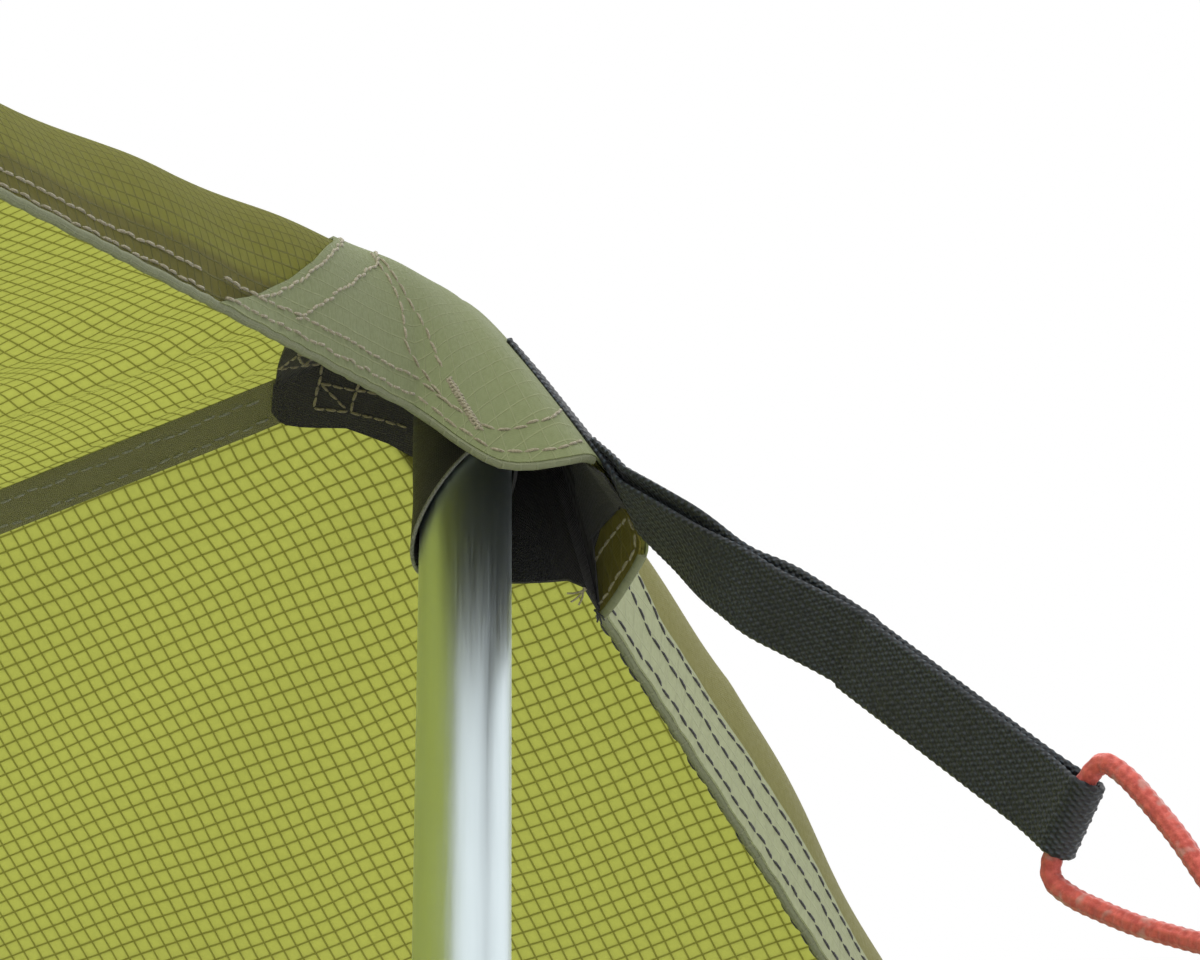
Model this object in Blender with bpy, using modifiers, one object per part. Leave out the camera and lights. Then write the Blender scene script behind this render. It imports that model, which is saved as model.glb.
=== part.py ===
"""Camping tarp pitched as a low A-frame on two telescopic poles.

Metres, +Z up. The ridge runs along X, the two cloth halves fall along Y, and the ground is z = 0.
Each end of the ridge is called a peak, and its pieces are drawn in a frame on the pole's axis, with
+X pointing out of the shelter. The photographed peak stands at +X. The other is the same, turned round.
"""

import math

import bmesh
import bpy
from mathutils import Matrix, Vector

# Whole shelter
POLE_X = 1.400
PEAK_Z = 1.080
HALF_WIDTH = 2.080
EDGE_Z = 0.0185
RIDGE_SAG = 0.012
PANEL_SAG = 0.040
END_CURVE = 0.045
END_CURVE_START = 0.16
SIDE_SCALLOP = 0.045
FOLD_DEPTH = 0.010
FOLD_REACH = 0.50
FOLD_COUNT = 3

# Cloth and sewn parts
CLOTH = 0.0010
SKIN_GAP = 0.0003
LIP_LENGTH = 0.046
LIP_DROP = 0.0443
LIP_START = 0.0059
LIP_SPREAD = 0.10
LIP_CORNER_BEND = 0.012
TAPE = 0.0008
TAPE_WIDTH = 0.0066
TAPE_START = 0.0012
LINER_REACH = 0.053
LINER_WIDTH = 0.031
HOOD_WIDTH = 0.090
CORNER_PATCH = 0.140
TAB_WIDTH = 0.038

# Webbing and cord
WEBBING = 0.0018
STRAP_WIDTH = 0.015
STRAP_FALL = math.radians(52.5)
STRAP_FREE = 0.140
STRAP_TWIST = math.radians(-62.0)
STRAP_DOUBLED = 0.066
STRAP_TAIL = 0.02
STRAP_TWIST_FROM = 0.002
STRAP_TWIST_TO = 0.030
STRAP_EYE_OPENING = 0.014
CORD = 0.004
CORD_ROOM = 0.0003
KNOT_RADIUS = 0.0055
KNOT_LENGTH = 0.012
PEG_LOOP_RADIUS = 0.014
PEG_LOOP_REACH = 0.042
PEG_LOOP_NECK = 0.012
PEG_LOOP_CLOSED = 0.25
PEG_LOOP_TURN = math.radians(130)
PEG_LOOP_STEPS = 13

# Pole
TUBE_RADIUS = 0.0095
TUBE_WALL = 0.0010
TUBE_PLAY = 0.00055
LOWER_WALL = 0.0012
LOWER_RADIUS = TUBE_RADIUS + TUBE_PLAY + LOWER_WALL
TUBE_OVERLAP = 0.180
LOWER_TOP = 0.600
POCKET_WALL = 0.0011
POCKET_ROOM = 0.0004
POCKET_DROP = 0.0253
POCKET_DEPTH = 0.066
RIM_SLOPE_X = 0.73
RIM_SLOPE_Y = 1.30
RIM_DROP = 0.048
WEB_THICKNESS = 0.0024
WEB_SPREAD = math.radians(50)
WEB_STEPS = 4
BUSH_LENGTH = 0.022
BUSH_LIP = 0.001
RUNNING_GAP = 0.00015
PLUG_SPIGOT = 0.016
FIT_GAP = 0.0003
FOOT_WALL = 0.00195
FOOT_RADIUS = LOWER_RADIUS + FIT_GAP + FOOT_WALL
FOOT_HEIGHT = 0.032
FOOT_SOLE = 0.008
FOOT_MOUTH = 0.0008
FOOT_SHOULDER = 0.003
FOOT_FLARE = 0.0012
FOOT_EDGE_IN = 0.002
FOOT_EDGE_UP = 0.0015
COLLAR_WALL = 0.0022
COLLAR_HEIGHT = 0.040
COLLAR_LIP = 0.008
COLLAR_EDGE = 0.001
COLLAR_SLOT = 0.0016
LUG_THICKNESS = 0.0045
LUG_WIDTH = 0.0090
PIN_RADIUS = 0.0015
PIN_HEAD = 0.0028
PIN_HEAD_HEIGHT = 0.0012
HUB_RADIUS = 0.0039
LEVER_THICKNESS = 0.0026
LEVER_ROOT = math.radians(84.0)
LEVER_SWEEP = math.radians(125.0)
LEVER_STEPS = 10
LEVER_TIP = 0.004
ROUND_STEPS = 32
PIN_STEPS = 16

# Rows of the cloth from the ridge out, and columns from the middle to the crest and down the lip
ROWS = [0.008, 0.015, 0.025, LINER_WIDTH, TAB_WIDTH, 0.062, HOOD_WIDTH, 0.13, 0.19, 0.27, 0.38,
        0.52, 0.70, 0.90, 1.12, 1.35, 1.58, 1.78, HALF_WIDTH - CORNER_PATCH, HALF_WIDTH]
ROOF_COLUMNS = [POLE_X, 0.95, 0.62, 0.36, 0.19, 0.10, LINER_REACH, 0.030, 0.012, 0.0]
LIP_COLUMNS = [0.15, 0.35, 0.60, 1.0]
HOOD_COLUMNS = [-0.030, -0.012, 0.0] + LIP_COLUMNS
LINER_COLUMNS = [-LINER_REACH, -0.030, -0.012, 0.0] + LIP_COLUMNS[:3]
CORNER_COLUMNS = [-0.10, -LINER_REACH, -0.030, -0.012, 0.0] + LIP_COLUMNS

# Shape of the peak's tab, by distance from the ridge: crest, bend and hem, all from the pole's axis
TAB_Y = [0.0, 0.015, 0.025, TAB_WIDTH]
TAB_CREST_X = [-0.002, -0.002, 0.0, 0.001]
TAB_BEND_X = [0.012, 0.012, 0.011, 0.011]
TAB_BEND_DROP = [0.006, 0.006, 0.005, 0.004]
TAB_HEM_X = [0.0385, 0.0375, 0.0235, 0.001 + LIP_START + LIP_SPREAD * TAB_WIDTH]
FAR_TAB_PULL = [0.0, 0.0070, 0.0048, 0.0]
SLOPE = (PEAK_Z - EDGE_Z) / HALF_WIDTH
TAB_HEM_DROP = [0.0713, 0.0720, 0.0745, LIP_DROP + SLOPE * TAB_WIDTH]

POCKET_Z = PEAK_Z - POCKET_DROP
POCKET_OUTER = TUBE_RADIUS + POCKET_ROOM + POCKET_WALL
HALF_STACK = CLOTH / 2 + SKIN_GAP + CLOTH / 2
STRAP_SEAT = HALF_STACK + CLOTH / 2 + SKIN_GAP + WEBBING / 2

OLIVE = (0.36, 0.40, 0.10)
GREY_GREEN = (0.36, 0.40, 0.26)
DARK_OLIVE = (0.10, 0.10, 0.05)
BLACK = (0.02, 0.02, 0.022)
SLATE = (0.03, 0.04, 0.05)
CORAL = (0.62, 0.12, 0.08)
SATIN = (0.72, 0.76, 0.76)


def clear_scene():
    for old in list(bpy.data.objects):
        bpy.data.objects.remove(old, do_unlink=True)


def new_collection(name, hidden=False):
    made = bpy.data.collections.new(name)
    bpy.context.scene.collection.children.link(made)
    made.hide_render = hidden
    return made


def finish_material(obj, colour, roughness, metallic=0.0):
    material = bpy.data.materials.new(obj.name + "_finish")
    material.use_nodes = True
    shader = material.node_tree.nodes["Principled BSDF"]
    shader.inputs["Base Color"].default_value = (*colour, 1.0)
    shader.inputs["Roughness"].default_value = roughness
    shader.inputs["Metallic"].default_value = metallic
    obj.data.materials.clear()
    obj.data.materials.append(material)


def add_object(name, data, parent=None, place=(0, 0, 0), collection=None):
    obj = bpy.data.objects.new(name, data)
    (collection or PARTS).objects.link(obj)
    obj.parent = parent
    obj.location = place
    return obj


def blend(value, knots, heights):
    """Straight-line reading of heights over knots, held at both ends."""
    if value <= knots[0]:
        return heights[0]
    for low, high, first, last in zip(knots, knots[1:], heights, heights[1:]):
        if value <= high:
            return first + (last - first) * (value - low) / (high - low)
    return heights[-1]


def crest_x(y):
    """Distance of the crest from the middle of the ridge, at this distance from the ridge."""
    along = min(max((y - END_CURVE_START) / (HALF_WIDTH - END_CURVE_START), 0.0), 1.0)
    return POLE_X + blend(y, TAB_Y, TAB_CREST_X) - END_CURVE * math.sin(math.pi * along) ** 2


def roof_z(x, y):
    """Height of the cloth between the crests."""
    share = y / HALF_WIDTH
    inside = max(1.0 - (x / POLE_X) ** 2, 0.0)
    ridge = PEAK_Z - RIDGE_SAG * inside
    sag = PANEL_SAG * inside * 4 * share * (1 - share)
    reach = math.hypot(POLE_X - x, y)
    turn = math.atan2(y, max(POLE_X - x, 0.0))
    ripple = 0.5 * (1 - math.cos(4 * FOLD_COUNT * turn))
    fade = reach / FOLD_REACH * math.exp(1 - reach / FOLD_REACH)
    fold = FOLD_DEPTH * ripple * fade * inside ** 0.5 * (1 - share)
    return EDGE_Z + (ridge - EDGE_Z) * (1 - share) - sag - fold


def lip_ends(y, pulled=False):
    """Crest, bend and hem of the lip at this distance from the ridge, each as (x, z).

    The strap pulls the tab's far half inwards.
    """
    share = y / HALF_WIDTH
    crest = (crest_x(y), roof_z(crest_x(y), y))
    bend = (crest[0] + blend(y, TAB_Y, TAB_BEND_X) * (1 - share ** 2) + LIP_CORNER_BEND * share ** 2,
            crest[1] - blend(y, TAB_Y, TAB_BEND_DROP) * (1 - share ** 2))
    if y < TAB_Y[-1]:
        pull = blend(y, TAB_Y, FAR_TAB_PULL) if pulled else 0.0
        hem = (POLE_X + blend(y, TAB_Y, TAB_HEM_X) - pull, PEAK_Z - blend(y, TAB_Y, TAB_HEM_DROP))
        return crest, bend, hem
    steep = math.atan2(LIP_DROP, LIP_START + LIP_SPREAD * y) * (1 - share ** 2)
    length = math.hypot(LIP_DROP, LIP_START + LIP_SPREAD * TAB_Y[-1])
    length += (LIP_LENGTH - length) * share
    hem = (crest[0] + length * math.cos(steep), crest[1] - length * math.sin(steep))
    return crest, bend, hem


def cloth_point(column, y):
    """Point on the middle of the cloth at the +X end.

    Columns up to 0 are distances inward from the crest, and 0 to 1 runs down the lip to its hem.
    """
    near = abs(y)
    crest, bend, hem = lip_ends(near, y > 0)
    if column <= 0:
        x = crest[0] * (1 + column / POLE_X)
        z = roof_z(x, near)
    else:
        rest = 1 - column
        x, z = (rest * rest * a + 2 * rest * column * b + column * column * c
                for a, b, c in zip(crest, bend, hem))
    along = min(x / crest[0], 1.0)
    share = near / HALF_WIDTH
    tuck = SIDE_SCALLOP * 4 * along * (1 - along) * share ** 3
    return Vector((x, math.copysign(near - tuck, y), z))


def offset_point(column, y, offset):
    """Point at a distance outside the middle of the cloth."""
    step = 0.0005
    across = cloth_point(column, y + step) - cloth_point(column, y - step)
    if column <= 0:
        along = cloth_point(column, y) - cloth_point(column - step, y)
    else:
        along = cloth_point(column + step, y) - cloth_point(column - step, y)
    return cloth_point(column, y) + offset * along.cross(across).normalized()


def peak_point(column, y, offset):
    """The same point, from the foot of the pole's axis."""
    return offset_point(column, y, offset) - Vector((POLE_X, 0, 0))


def sheet(name, columns, rows, place, thickness, parent=None):
    """Thin closed solid on a grid whose corners are placed by a function of column and row.

    Each cell is split along its higher diagonal, so that sheets laid on each other split alike.
    """
    mesh = bpy.data.meshes.new(name)
    form = bmesh.new()
    across, up = len(columns) - 1, len(rows) - 1
    bmesh.ops.create_grid(form, x_segments=across, y_segments=up, size=0.5)
    for corner in form.verts:
        column = columns[round((corner.co.x + 0.5) * across)]
        row = rows[round((corner.co.y + 0.5) * up)]
        corner.co = place(column, row)
    for face in list(form.faces):
        a, b, c, d = face.verts
        ends = (a, c) if a.co.z + c.co.z >= b.co.z + d.co.z else (b, d)
        bmesh.utils.face_split(face, *ends)
    form.to_mesh(mesh)
    form.free()
    obj = add_object(name, mesh, parent)
    wall = obj.modifiers.new("wall", "SOLIDIFY")
    wall.thickness = thickness
    wall.offset = 0
    return obj


def canopy_half(name, side):
    """One half of the cloth, from the ridge to its side hem, with the lip at both ends."""
    outer = [-column for column in ROOF_COLUMNS] + LIP_COLUMNS
    stations = [(-1, column) for column in reversed(outer[1:])] + [(1, column) for column in outer]
    rows = [SKIN_GAP] + ROWS

    def place(station, y):
        end, column = station
        point = cloth_point(column, end * side * y)
        return Vector((end * point.x, end * point.y, point.z))

    obj = sheet(name, stations, rows, place, CLOTH)
    finish_material(obj, OLIVE, 0.55)
    return obj


def ridge_tape():
    """Felled seam band on the inside of the far half, from liner to liner."""
    inner = [-column for column in ROOF_COLUMNS[:6]] + [-LINER_REACH - SKIN_GAP]
    stations = [(-1, column) for column in reversed(inner[1:])] + [(1, column) for column in inner]
    depth = CLOTH / 2 + SKIN_GAP + TAPE / 2

    def place(station, y):
        end, column = station
        point = offset_point(column, y, -depth)
        return Vector((end * point.x, point.y, point.z))

    obj = sheet("ridge_seam_tape", stations, [TAPE_START, TAPE_START + TAPE_WIDTH], place, TAPE)
    finish_material(obj, DARK_OLIVE, 0.6)
    return obj


def both_sides(width):
    """Rows of the cloth on both sides of the ridge, out to a width."""
    rows = [row for row in ROWS if row <= width]
    return [-row for row in reversed(rows)] + [0.0] + rows


def peak_hood(end, frame):
    """Outer double layer over the peak, from the roof down to the tab's hem."""
    rows = both_sides(HOOD_WIDTH)
    obj = sheet(end + "_peak_hood", HOOD_COLUMNS, rows,
                lambda column, y: peak_point(column, y, HALF_STACK), CLOTH, frame)
    finish_material(obj, GREY_GREEN, 0.6)


def peak_liner(end, frame):
    """Black inner patch that the pole pocket is sewn to."""
    rows = both_sides(LINER_WIDTH)
    obj = sheet(end + "_peak_liner", LINER_COLUMNS, rows,
                lambda column, y: peak_point(column, y, -HALF_STACK), CLOTH, frame)
    finish_material(obj, BLACK, 0.7)


def outline_solid(name, points, thickness, parent, upright=False):
    """Flat outline with a thickness, centred on its plane. Upright outlines stand in the XZ plane."""
    mesh = bpy.data.meshes.new(name)
    form = bmesh.new()
    corners = [form.verts.new((x, y, -thickness / 2)) for x, y in points]
    face = form.faces.new(corners)
    grown = bmesh.ops.extrude_face_region(form, geom=[face])
    moved = [item for item in grown["geom"] if isinstance(item, bmesh.types.BMVert)]
    bmesh.ops.translate(form, verts=moved, vec=(0, 0, thickness))
    if upright:
        bmesh.ops.rotate(form, verts=form.verts, matrix=Matrix.Rotation(math.pi / 2, 3, "X"))
    bmesh.ops.recalc_face_normals(form, faces=form.faces)
    form.to_mesh(mesh)
    form.free()
    return add_object(name, mesh, parent)


def pocket_web(end, frame):
    """Sewn web in the ridge's plane that ties the pocket's top to the liner."""
    seat = POCKET_OUTER + SKIN_GAP
    turns = [WEB_SPREAD * step / WEB_STEPS for step in range(-WEB_STEPS, 0)]
    arc = [(seat * math.sin(turn), seat * math.cos(turn)) for turn in turns]
    under = CLOTH / 2 + SKIN_GAP + CLOTH + SKIN_GAP + SLOPE * WEB_THICKNESS / 2
    top = POCKET_DROP - under - RIDGE_SAG * (1 - (1 + arc[0][0] / POLE_X) ** 2)
    points = arc + [(arc[-1][0], top), (arc[0][0], top)]
    obj = outline_solid(end + "_pocket_web", points, WEB_THICKNESS, frame, upright=True)
    obj.location = (0, 0, POCKET_Z)
    finish_material(obj, BLACK, 0.7)


def turned(name, profile, parent, place=(0, 0, 0), steps=ROUND_STEPS, closed=False):
    """Solid turned about Z from (radius, height) points that run down the outer side."""
    mesh = bpy.data.meshes.new(name)
    count = len(profile)
    edges = [(index, index + 1) for index in range(count - 1)]
    if closed:
        edges.append((count - 1, 0))
    mesh.from_pydata([(radius, 0, height) for radius, height in profile], edges, [])
    obj = add_object(name, mesh, parent, place)
    lathe = obj.modifiers.new("turn", "SCREW")
    lathe.axis = "Z"
    lathe.steps = steps
    lathe.render_steps = steps
    lathe.use_merge_vertices = True
    lathe.merge_threshold = 0.00001
    lathe.use_smooth_shade = True
    return obj


def tube_profile(outer, wall, bottom, top):
    inner = outer - wall
    return [(outer, top), (outer, bottom), (inner, bottom), (inner, top)]


def dome(radius, steps, top_first=True):
    """Quarter circle from the axis out, or back in."""
    turn = [(radius * math.sin(math.pi / 2 * step / steps),
             radius * math.cos(math.pi / 2 * step / steps)) for step in range(steps + 1)]
    turn[0] = (0.0, radius)
    return turn if top_first else turn[::-1]


def cutter_box(name, size, parent, place, turn=None):
    bpy.ops.mesh.primitive_cube_add(size=1)
    obj = bpy.context.active_object
    obj.name = name
    for vertex in obj.data.vertices:
        vertex.co = Vector(a * b for a, b in zip(vertex.co, size))
    for holder in list(obj.users_collection):
        holder.objects.unlink(obj)
    CUTTERS.objects.link(obj)
    obj.parent = parent
    obj.location = place
    if turn is not None:
        obj.rotation_euler = turn
    obj.hide_render = True
    obj.display_type = "WIRE"
    return obj


def drill(name, bottom, top, parent, place=(0, 0, 0)):
    """Cutter for a hole that the clamp's pin runs in."""
    radius = PIN_RADIUS + FIT_GAP
    obj = turned(name, [(0, top), (radius, top), (radius, bottom), (0, bottom)], parent, place, PIN_STEPS)
    PARTS.objects.unlink(obj)
    CUTTERS.objects.link(obj)
    obj.hide_render = True
    obj.display_type = "WIRE"
    return obj


def cut(obj, tool):
    step = obj.modifiers.new("cut", "BOOLEAN")
    step.operation = "DIFFERENCE"
    step.solver = "EXACT"
    step.object = tool


def join_in(obj, tool):
    step = obj.modifiers.new("join", "BOOLEAN")
    step.operation = "UNION"
    step.solver = "EXACT"
    step.object = tool


def pole_pocket(end, swing):
    """Domed cup over the pole's tip, with a rim that slants up to the near side."""
    inner = TUBE_RADIUS + POCKET_ROOM
    profile = dome(POCKET_OUTER, 7)
    profile += [(POCKET_OUTER, -POCKET_DEPTH), (inner, -POCKET_DEPTH)]
    profile += dome(inner, 7, top_first=False)
    obj = turned(end + "_pole_pocket", profile, swing)
    normal = Vector((RIM_SLOPE_X, RIM_SLOPE_Y, 1.0)).normalized()
    size = 0.12
    middle = Vector((0, 0, -RIM_DROP)) - normal * size / 2
    turn = normal.to_track_quat("Z", "Y").to_euler()
    cut(obj, cutter_box(end + "_rim_cutter", (size, size, size), swing, middle, turn))
    finish_material(obj, BLACK, 0.7)


def pole_upper(end, swing):
    """Upper tube, its rounded tip plug and its guide bush, in a frame on the pocket's centre."""
    bottom = LOWER_TOP - TUBE_OVERLAP - POCKET_Z
    tube = turned(end + "_upper_tube", tube_profile(TUBE_RADIUS, TUBE_WALL, bottom, 0), swing,
                  closed=True)
    finish_material(tube, SATIN, 0.3, 1.0)
    spigot = TUBE_RADIUS - TUBE_WALL - FIT_GAP
    profile = dome(TUBE_RADIUS, 6)[:-1] + [(TUBE_RADIUS, FIT_GAP), (spigot, FIT_GAP)]
    profile += [(spigot, -PLUG_SPIGOT), (0, -PLUG_SPIGOT)]
    plug = turned(end + "_tip_plug", profile, swing)
    finish_material(plug, BLACK, 0.5)
    reach = LOWER_RADIUS - LOWER_WALL - RUNNING_GAP
    bush_top = bottom - FIT_GAP
    bush = turned(end + "_guide_bush",
                  [(reach, bush_top), (reach, bush_top - BUSH_LENGTH / 2),
                   (spigot, bush_top - BUSH_LENGTH / 2),
                   (spigot, bush_top - BUSH_LENGTH / 2 - BUSH_LIP),
                   (spigot - TUBE_WALL, bush_top - BUSH_LENGTH / 2 - BUSH_LIP),
                   (spigot - TUBE_WALL, bush_top + BUSH_LENGTH / 2),
                   (spigot, bush_top + BUSH_LENGTH / 2), (spigot, bush_top)], swing, closed=True)
    finish_material(bush, BLACK, 0.5)


def pole_lower(end, slide):
    """Lower tube and rubber foot."""
    tube = turned(end + "_lower_tube",
                  tube_profile(LOWER_RADIUS, LOWER_WALL, FOOT_SOLE + FIT_GAP, LOWER_TOP), slide,
                  closed=True)
    finish_material(tube, SATIN, 0.3, 1.0)
    socket = LOWER_RADIUS + FIT_GAP
    foot = turned(end + "_foot",
                  [(0, FOOT_SOLE), (socket, FOOT_SOLE), (socket, FOOT_HEIGHT),
                   (socket + FOOT_MOUTH, FOOT_HEIGHT), (FOOT_RADIUS, FOOT_HEIGHT - FOOT_SHOULDER),
                   (FOOT_RADIUS + FOOT_FLARE, FOOT_SOLE), (FOOT_RADIUS, FOOT_EDGE_UP),
                   (FOOT_RADIUS - FOOT_EDGE_IN, 0), (0, 0)], slide)
    finish_material(foot, BLACK, 0.8)


def clamp(end, slide, lever_frame):
    """Split collar with two lugs, the pin through them, and the lever between them."""
    base = LOWER_TOP - COLLAR_HEIGHT + COLLAR_LIP
    top = LOWER_TOP + COLLAR_LIP
    outer = LOWER_RADIUS + FIT_GAP + COLLAR_WALL
    bore = LOWER_RADIUS + FIT_GAP
    lip_bore = TUBE_RADIUS + 2 * FIT_GAP
    step = LOWER_TOP + FIT_GAP
    collar = turned(end + "_clamp_collar",
                    [(outer, top - COLLAR_EDGE), (outer, base + COLLAR_EDGE),
                     (outer - COLLAR_EDGE, base), (bore, base), (bore, step), (lip_bore, step),
                     (lip_bore, top), (outer - COLLAR_EDGE, top)],
                    slide, closed=True)
    lug_gap = COLLAR_HEIGHT / 2 - LUG_THICKNESS
    pin_y = outer + FIT_GAP + HUB_RADIUS
    reach = pin_y + LUG_WIDTH / 2
    for high in (-1, 1):
        middle = (base + top) / 2 + high * (lug_gap + LUG_THICKNESS) / 2
        lug = cutter_box(f"{end}_lug_{high + 1}",
                         (LUG_WIDTH, reach - outer + COLLAR_WALL / 2, LUG_THICKNESS), slide,
                         (0, (reach + outer - COLLAR_WALL / 2) / 2, middle))
        join_in(collar, lug)
    cut(collar, cutter_box(end + "_slot_cutter", (COLLAR_SLOT, 2 * outer, 1.4 * lug_gap), slide,
                           (0, -outer, base)))
    cut(collar, drill(end + "_pin_drill", base, top, slide, (0, pin_y, 0)))
    finish_material(collar, BLACK, 0.45)

    half = lug_gap / 2 + LUG_THICKNESS + FIT_GAP
    middle = (base + top) / 2
    pin = turned(end + "_clamp_pin",
                 [(0, half + PIN_HEAD_HEIGHT), (PIN_HEAD, half + PIN_HEAD_HEIGHT), (PIN_HEAD, half),
                  (PIN_RADIUS, half), (PIN_RADIUS, -half), (PIN_HEAD, -half),
                  (PIN_HEAD, -half - PIN_HEAD_HEIGHT), (0, -half - PIN_HEAD_HEIGHT)],
                 slide, (0, pin_y, middle), steps=PIN_STEPS)
    finish_material(pin, SATIN, 0.25, 1.0)

    lever_frame.location = (0, pin_y, middle)
    centre = Vector((0, -pin_y))
    near = outer + 2 * FIT_GAP
    far = near + LEVER_THICKNESS
    hub = [HUB_RADIUS * Vector((math.cos(angle), math.sin(angle)))
           for angle in [math.radians(turn) for turn in range(60, 271, 30)]]
    shares = [count / LEVER_STEPS for count in range(1, LEVER_STEPS + 1)]
    spokes = []
    for share in shares:
        angle = LEVER_ROOT - LEVER_SWEEP * share
        spokes.append(Vector((math.cos(angle), math.sin(angle))))
    inner_arc = [centre + near * spoke for spoke in spokes]
    outer_arc = [centre + (far + LEVER_TIP * share ** 4) * spoke for share, spoke in zip(shares, spokes)]
    outline = hub + inner_arc + outer_arc[:0:-1]
    lever = outline_solid(end + "_clamp_lever", outline, lug_gap - 2 * FIT_GAP, lever_frame)
    cut(lever, drill(end + "_lever_drill", base - middle, top - middle, lever_frame))
    finish_material(lever, SATIN, 0.35, 1.0)


def ribbon(name, stations, half_width, thickness, parent, colour):
    """Webbing along stations, each a middle point and the vector across it."""
    places = list(range(len(stations)))

    def place(index, side):
        middle, across = stations[index]
        return middle + side * half_width * across

    obj = sheet(name, places, [-1.0, 1.0], place, thickness, parent)
    finish_material(obj, colour, 0.75)
    return obj


def strap_frame():
    """Start of the free strap, the way it runs, and its outward face before the twist."""
    start = peak_point(1.0, 0.0, STRAP_SEAT)
    along = Vector((math.cos(STRAP_FALL), 0, -math.sin(STRAP_FALL)))
    out = Vector((math.sin(STRAP_FALL), 0, math.cos(STRAP_FALL)))
    return start, along, out


def turned_vectors(out, amount):
    """Across and outward vectors of the strap at a share of its full twist."""
    angle = STRAP_TWIST * amount
    side = Vector((0, 1, 0))
    across = math.cos(angle) * side + math.sin(angle) * out
    return across, math.cos(angle) * out - math.sin(angle) * side


def end_strap(end, frame):
    """Webbing sewn along the tab, twisted, and folded back round the cord."""
    start, along, out = strap_frame()
    upper = peak_point(LIP_COLUMNS[2], 0.0, STRAP_SEAT)
    side = Vector((0, 1, 0))
    stations = [(upper + STRAP_TAIL * (upper - start), side), (upper, side), (start, side)]
    eye = start + along * STRAP_FREE
    turn_radius = CORD / 2 + CORD_ROOM + WEBBING / 2
    layer = WEBBING / 2 + SKIN_GAP
    doubled = STRAP_FREE - STRAP_DOUBLED

    def lift(distance):
        open_eye = max(0.0, 1 - (STRAP_FREE - distance) / STRAP_EYE_OPENING)
        return layer + (turn_radius - layer) * open_eye ** 2

    for count in range(1, 9):
        distance = doubled * count / 8
        twisted = (distance - STRAP_TWIST_FROM) / (doubled - STRAP_TWIST_FROM - STRAP_TWIST_TO)
        share = min(max(twisted, 0.0), 1.0)
        share = share * share * (3 - 2 * share)
        across, normal = turned_vectors(out, share)
        stations.append((start + along * distance + normal * layer * count / 8, across))
    across, normal = turned_vectors(out, 1.0)
    runs = [doubled + (STRAP_FREE - doubled) * share for share in (0.35, 0.7, 0.85, 0.93)]
    for distance in runs:
        stations.append((start + along * distance + normal * lift(distance), across))
    for step in range(9):
        angle = math.pi / 2 - math.pi * step / 8
        stations.append((eye + turn_radius * (math.sin(angle) * normal + math.cos(angle) * along),
                         across))
    for distance in reversed([doubled + SKIN_GAP] + runs):
        stations.append((start + along * distance - normal * lift(distance), across))
    ribbon(end + "_strap", stations, STRAP_WIDTH / 2, WEBBING, frame, SLATE)


def smooth_route(points, spacing):
    """Points at an even spacing on a smooth curve through the route's own points."""
    padded = [2 * points[0] - points[1]] + points + [2 * points[-1] - points[-2]]
    fine = []
    for first, second, third, fourth in zip(padded, padded[1:], padded[2:], padded[3:]):
        for step in range(20):
            t = step / 20
            fine.append(0.5 * (2 * second + (third - first) * t
                               + (2 * first - 5 * second + 4 * third - fourth) * t ** 2
                               + (3 * second - first - 3 * third + fourth) * t ** 3))
    fine.append(points[-1])
    length = sum((b - a).length for a, b in zip(fine, fine[1:]))
    count = max(2, round(length / spacing))
    even = [fine[0]]
    walked = 0.0
    for a, b in zip(fine, fine[1:]):
        piece = (b - a).length
        while len(even) < count and walked + piece >= length * len(even) / count:
            even.append(a.lerp(b, (length * len(even) / count - walked) / piece))
        walked += piece
    return even + [fine[-1]]


# Route of the cord in the frame of the strap's eye, as (across, along, out), in metres
CORD_ROUTE = [(0.0025, 0.0520, 0.0), (0.0025, 0.0475, 0.0), (0.0037, 0.0415, 0.0), (0.0062, 0.0335, 0.0),
              (0.0088, 0.0250, 0.0), (0.0108, 0.0160, 0.0), (0.0121, 0.0080, 0.0), (0.0115, 0.0020, 0.0),
              (0.0065, 0.0, 0.0), (0.0, 0.0, 0.0), (-0.0065, 0.0, 0.0), (-0.0115, 0.0020, 0.0),
              (-0.0121, 0.0080, 0.0), (-0.0108, 0.0160, 0.0), (-0.0088, 0.0250, 0.0),
              (-0.0062, 0.0335, 0.0), (-0.0037, 0.0415, 0.0), (-0.0025, 0.0475, 0.0),
              (-0.0025, 0.0520, 0.0)]


def guy_cord(end, frame):
    """Short loop of cord through the strap, and the knot that closes it."""
    start, along, out = strap_frame()
    across, normal = turned_vectors(out, 1.0)
    eye = start + along * STRAP_FREE
    route = [eye + a * across + b * along + c * normal for a, b, c in CORD_ROUTE]
    curve = bpy.data.curves.new(end + "_guy_cord", "CURVE")
    curve.dimensions = "3D"
    curve.bevel_depth = CORD / 2
    curve.bevel_resolution = 2
    curve.use_fill_caps = True
    points = smooth_route(route, 1.1 * CORD)
    spline = curve.splines.new("POLY")
    spline.points.add(len(points) - 1)
    for knot, point in zip(spline.points, points):
        knot.co = (*point, 1.0)
    cord = add_object(end + "_guy_cord", curve, frame)
    finish_material(cord, CORAL, 0.7)

    begin = CORD_ROUTE[0][1] + SKIN_GAP
    crown = KNOT_RADIUS
    profile = [(0, KNOT_LENGTH), (crown * 0.55, KNOT_LENGTH), (crown * 0.9, KNOT_LENGTH * 0.82),
               (crown, KNOT_LENGTH * 0.5), (crown * 0.95, KNOT_LENGTH * 0.15), (crown * 0.85, 0), (0, 0)]
    knot = turned(end + "_guy_knot", profile, frame, steps=20)
    knot.rotation_euler = along.to_track_quat("Z", "Y").to_euler()
    knot.location = eye + along * begin
    finish_material(knot, CORAL, 0.7)


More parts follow.
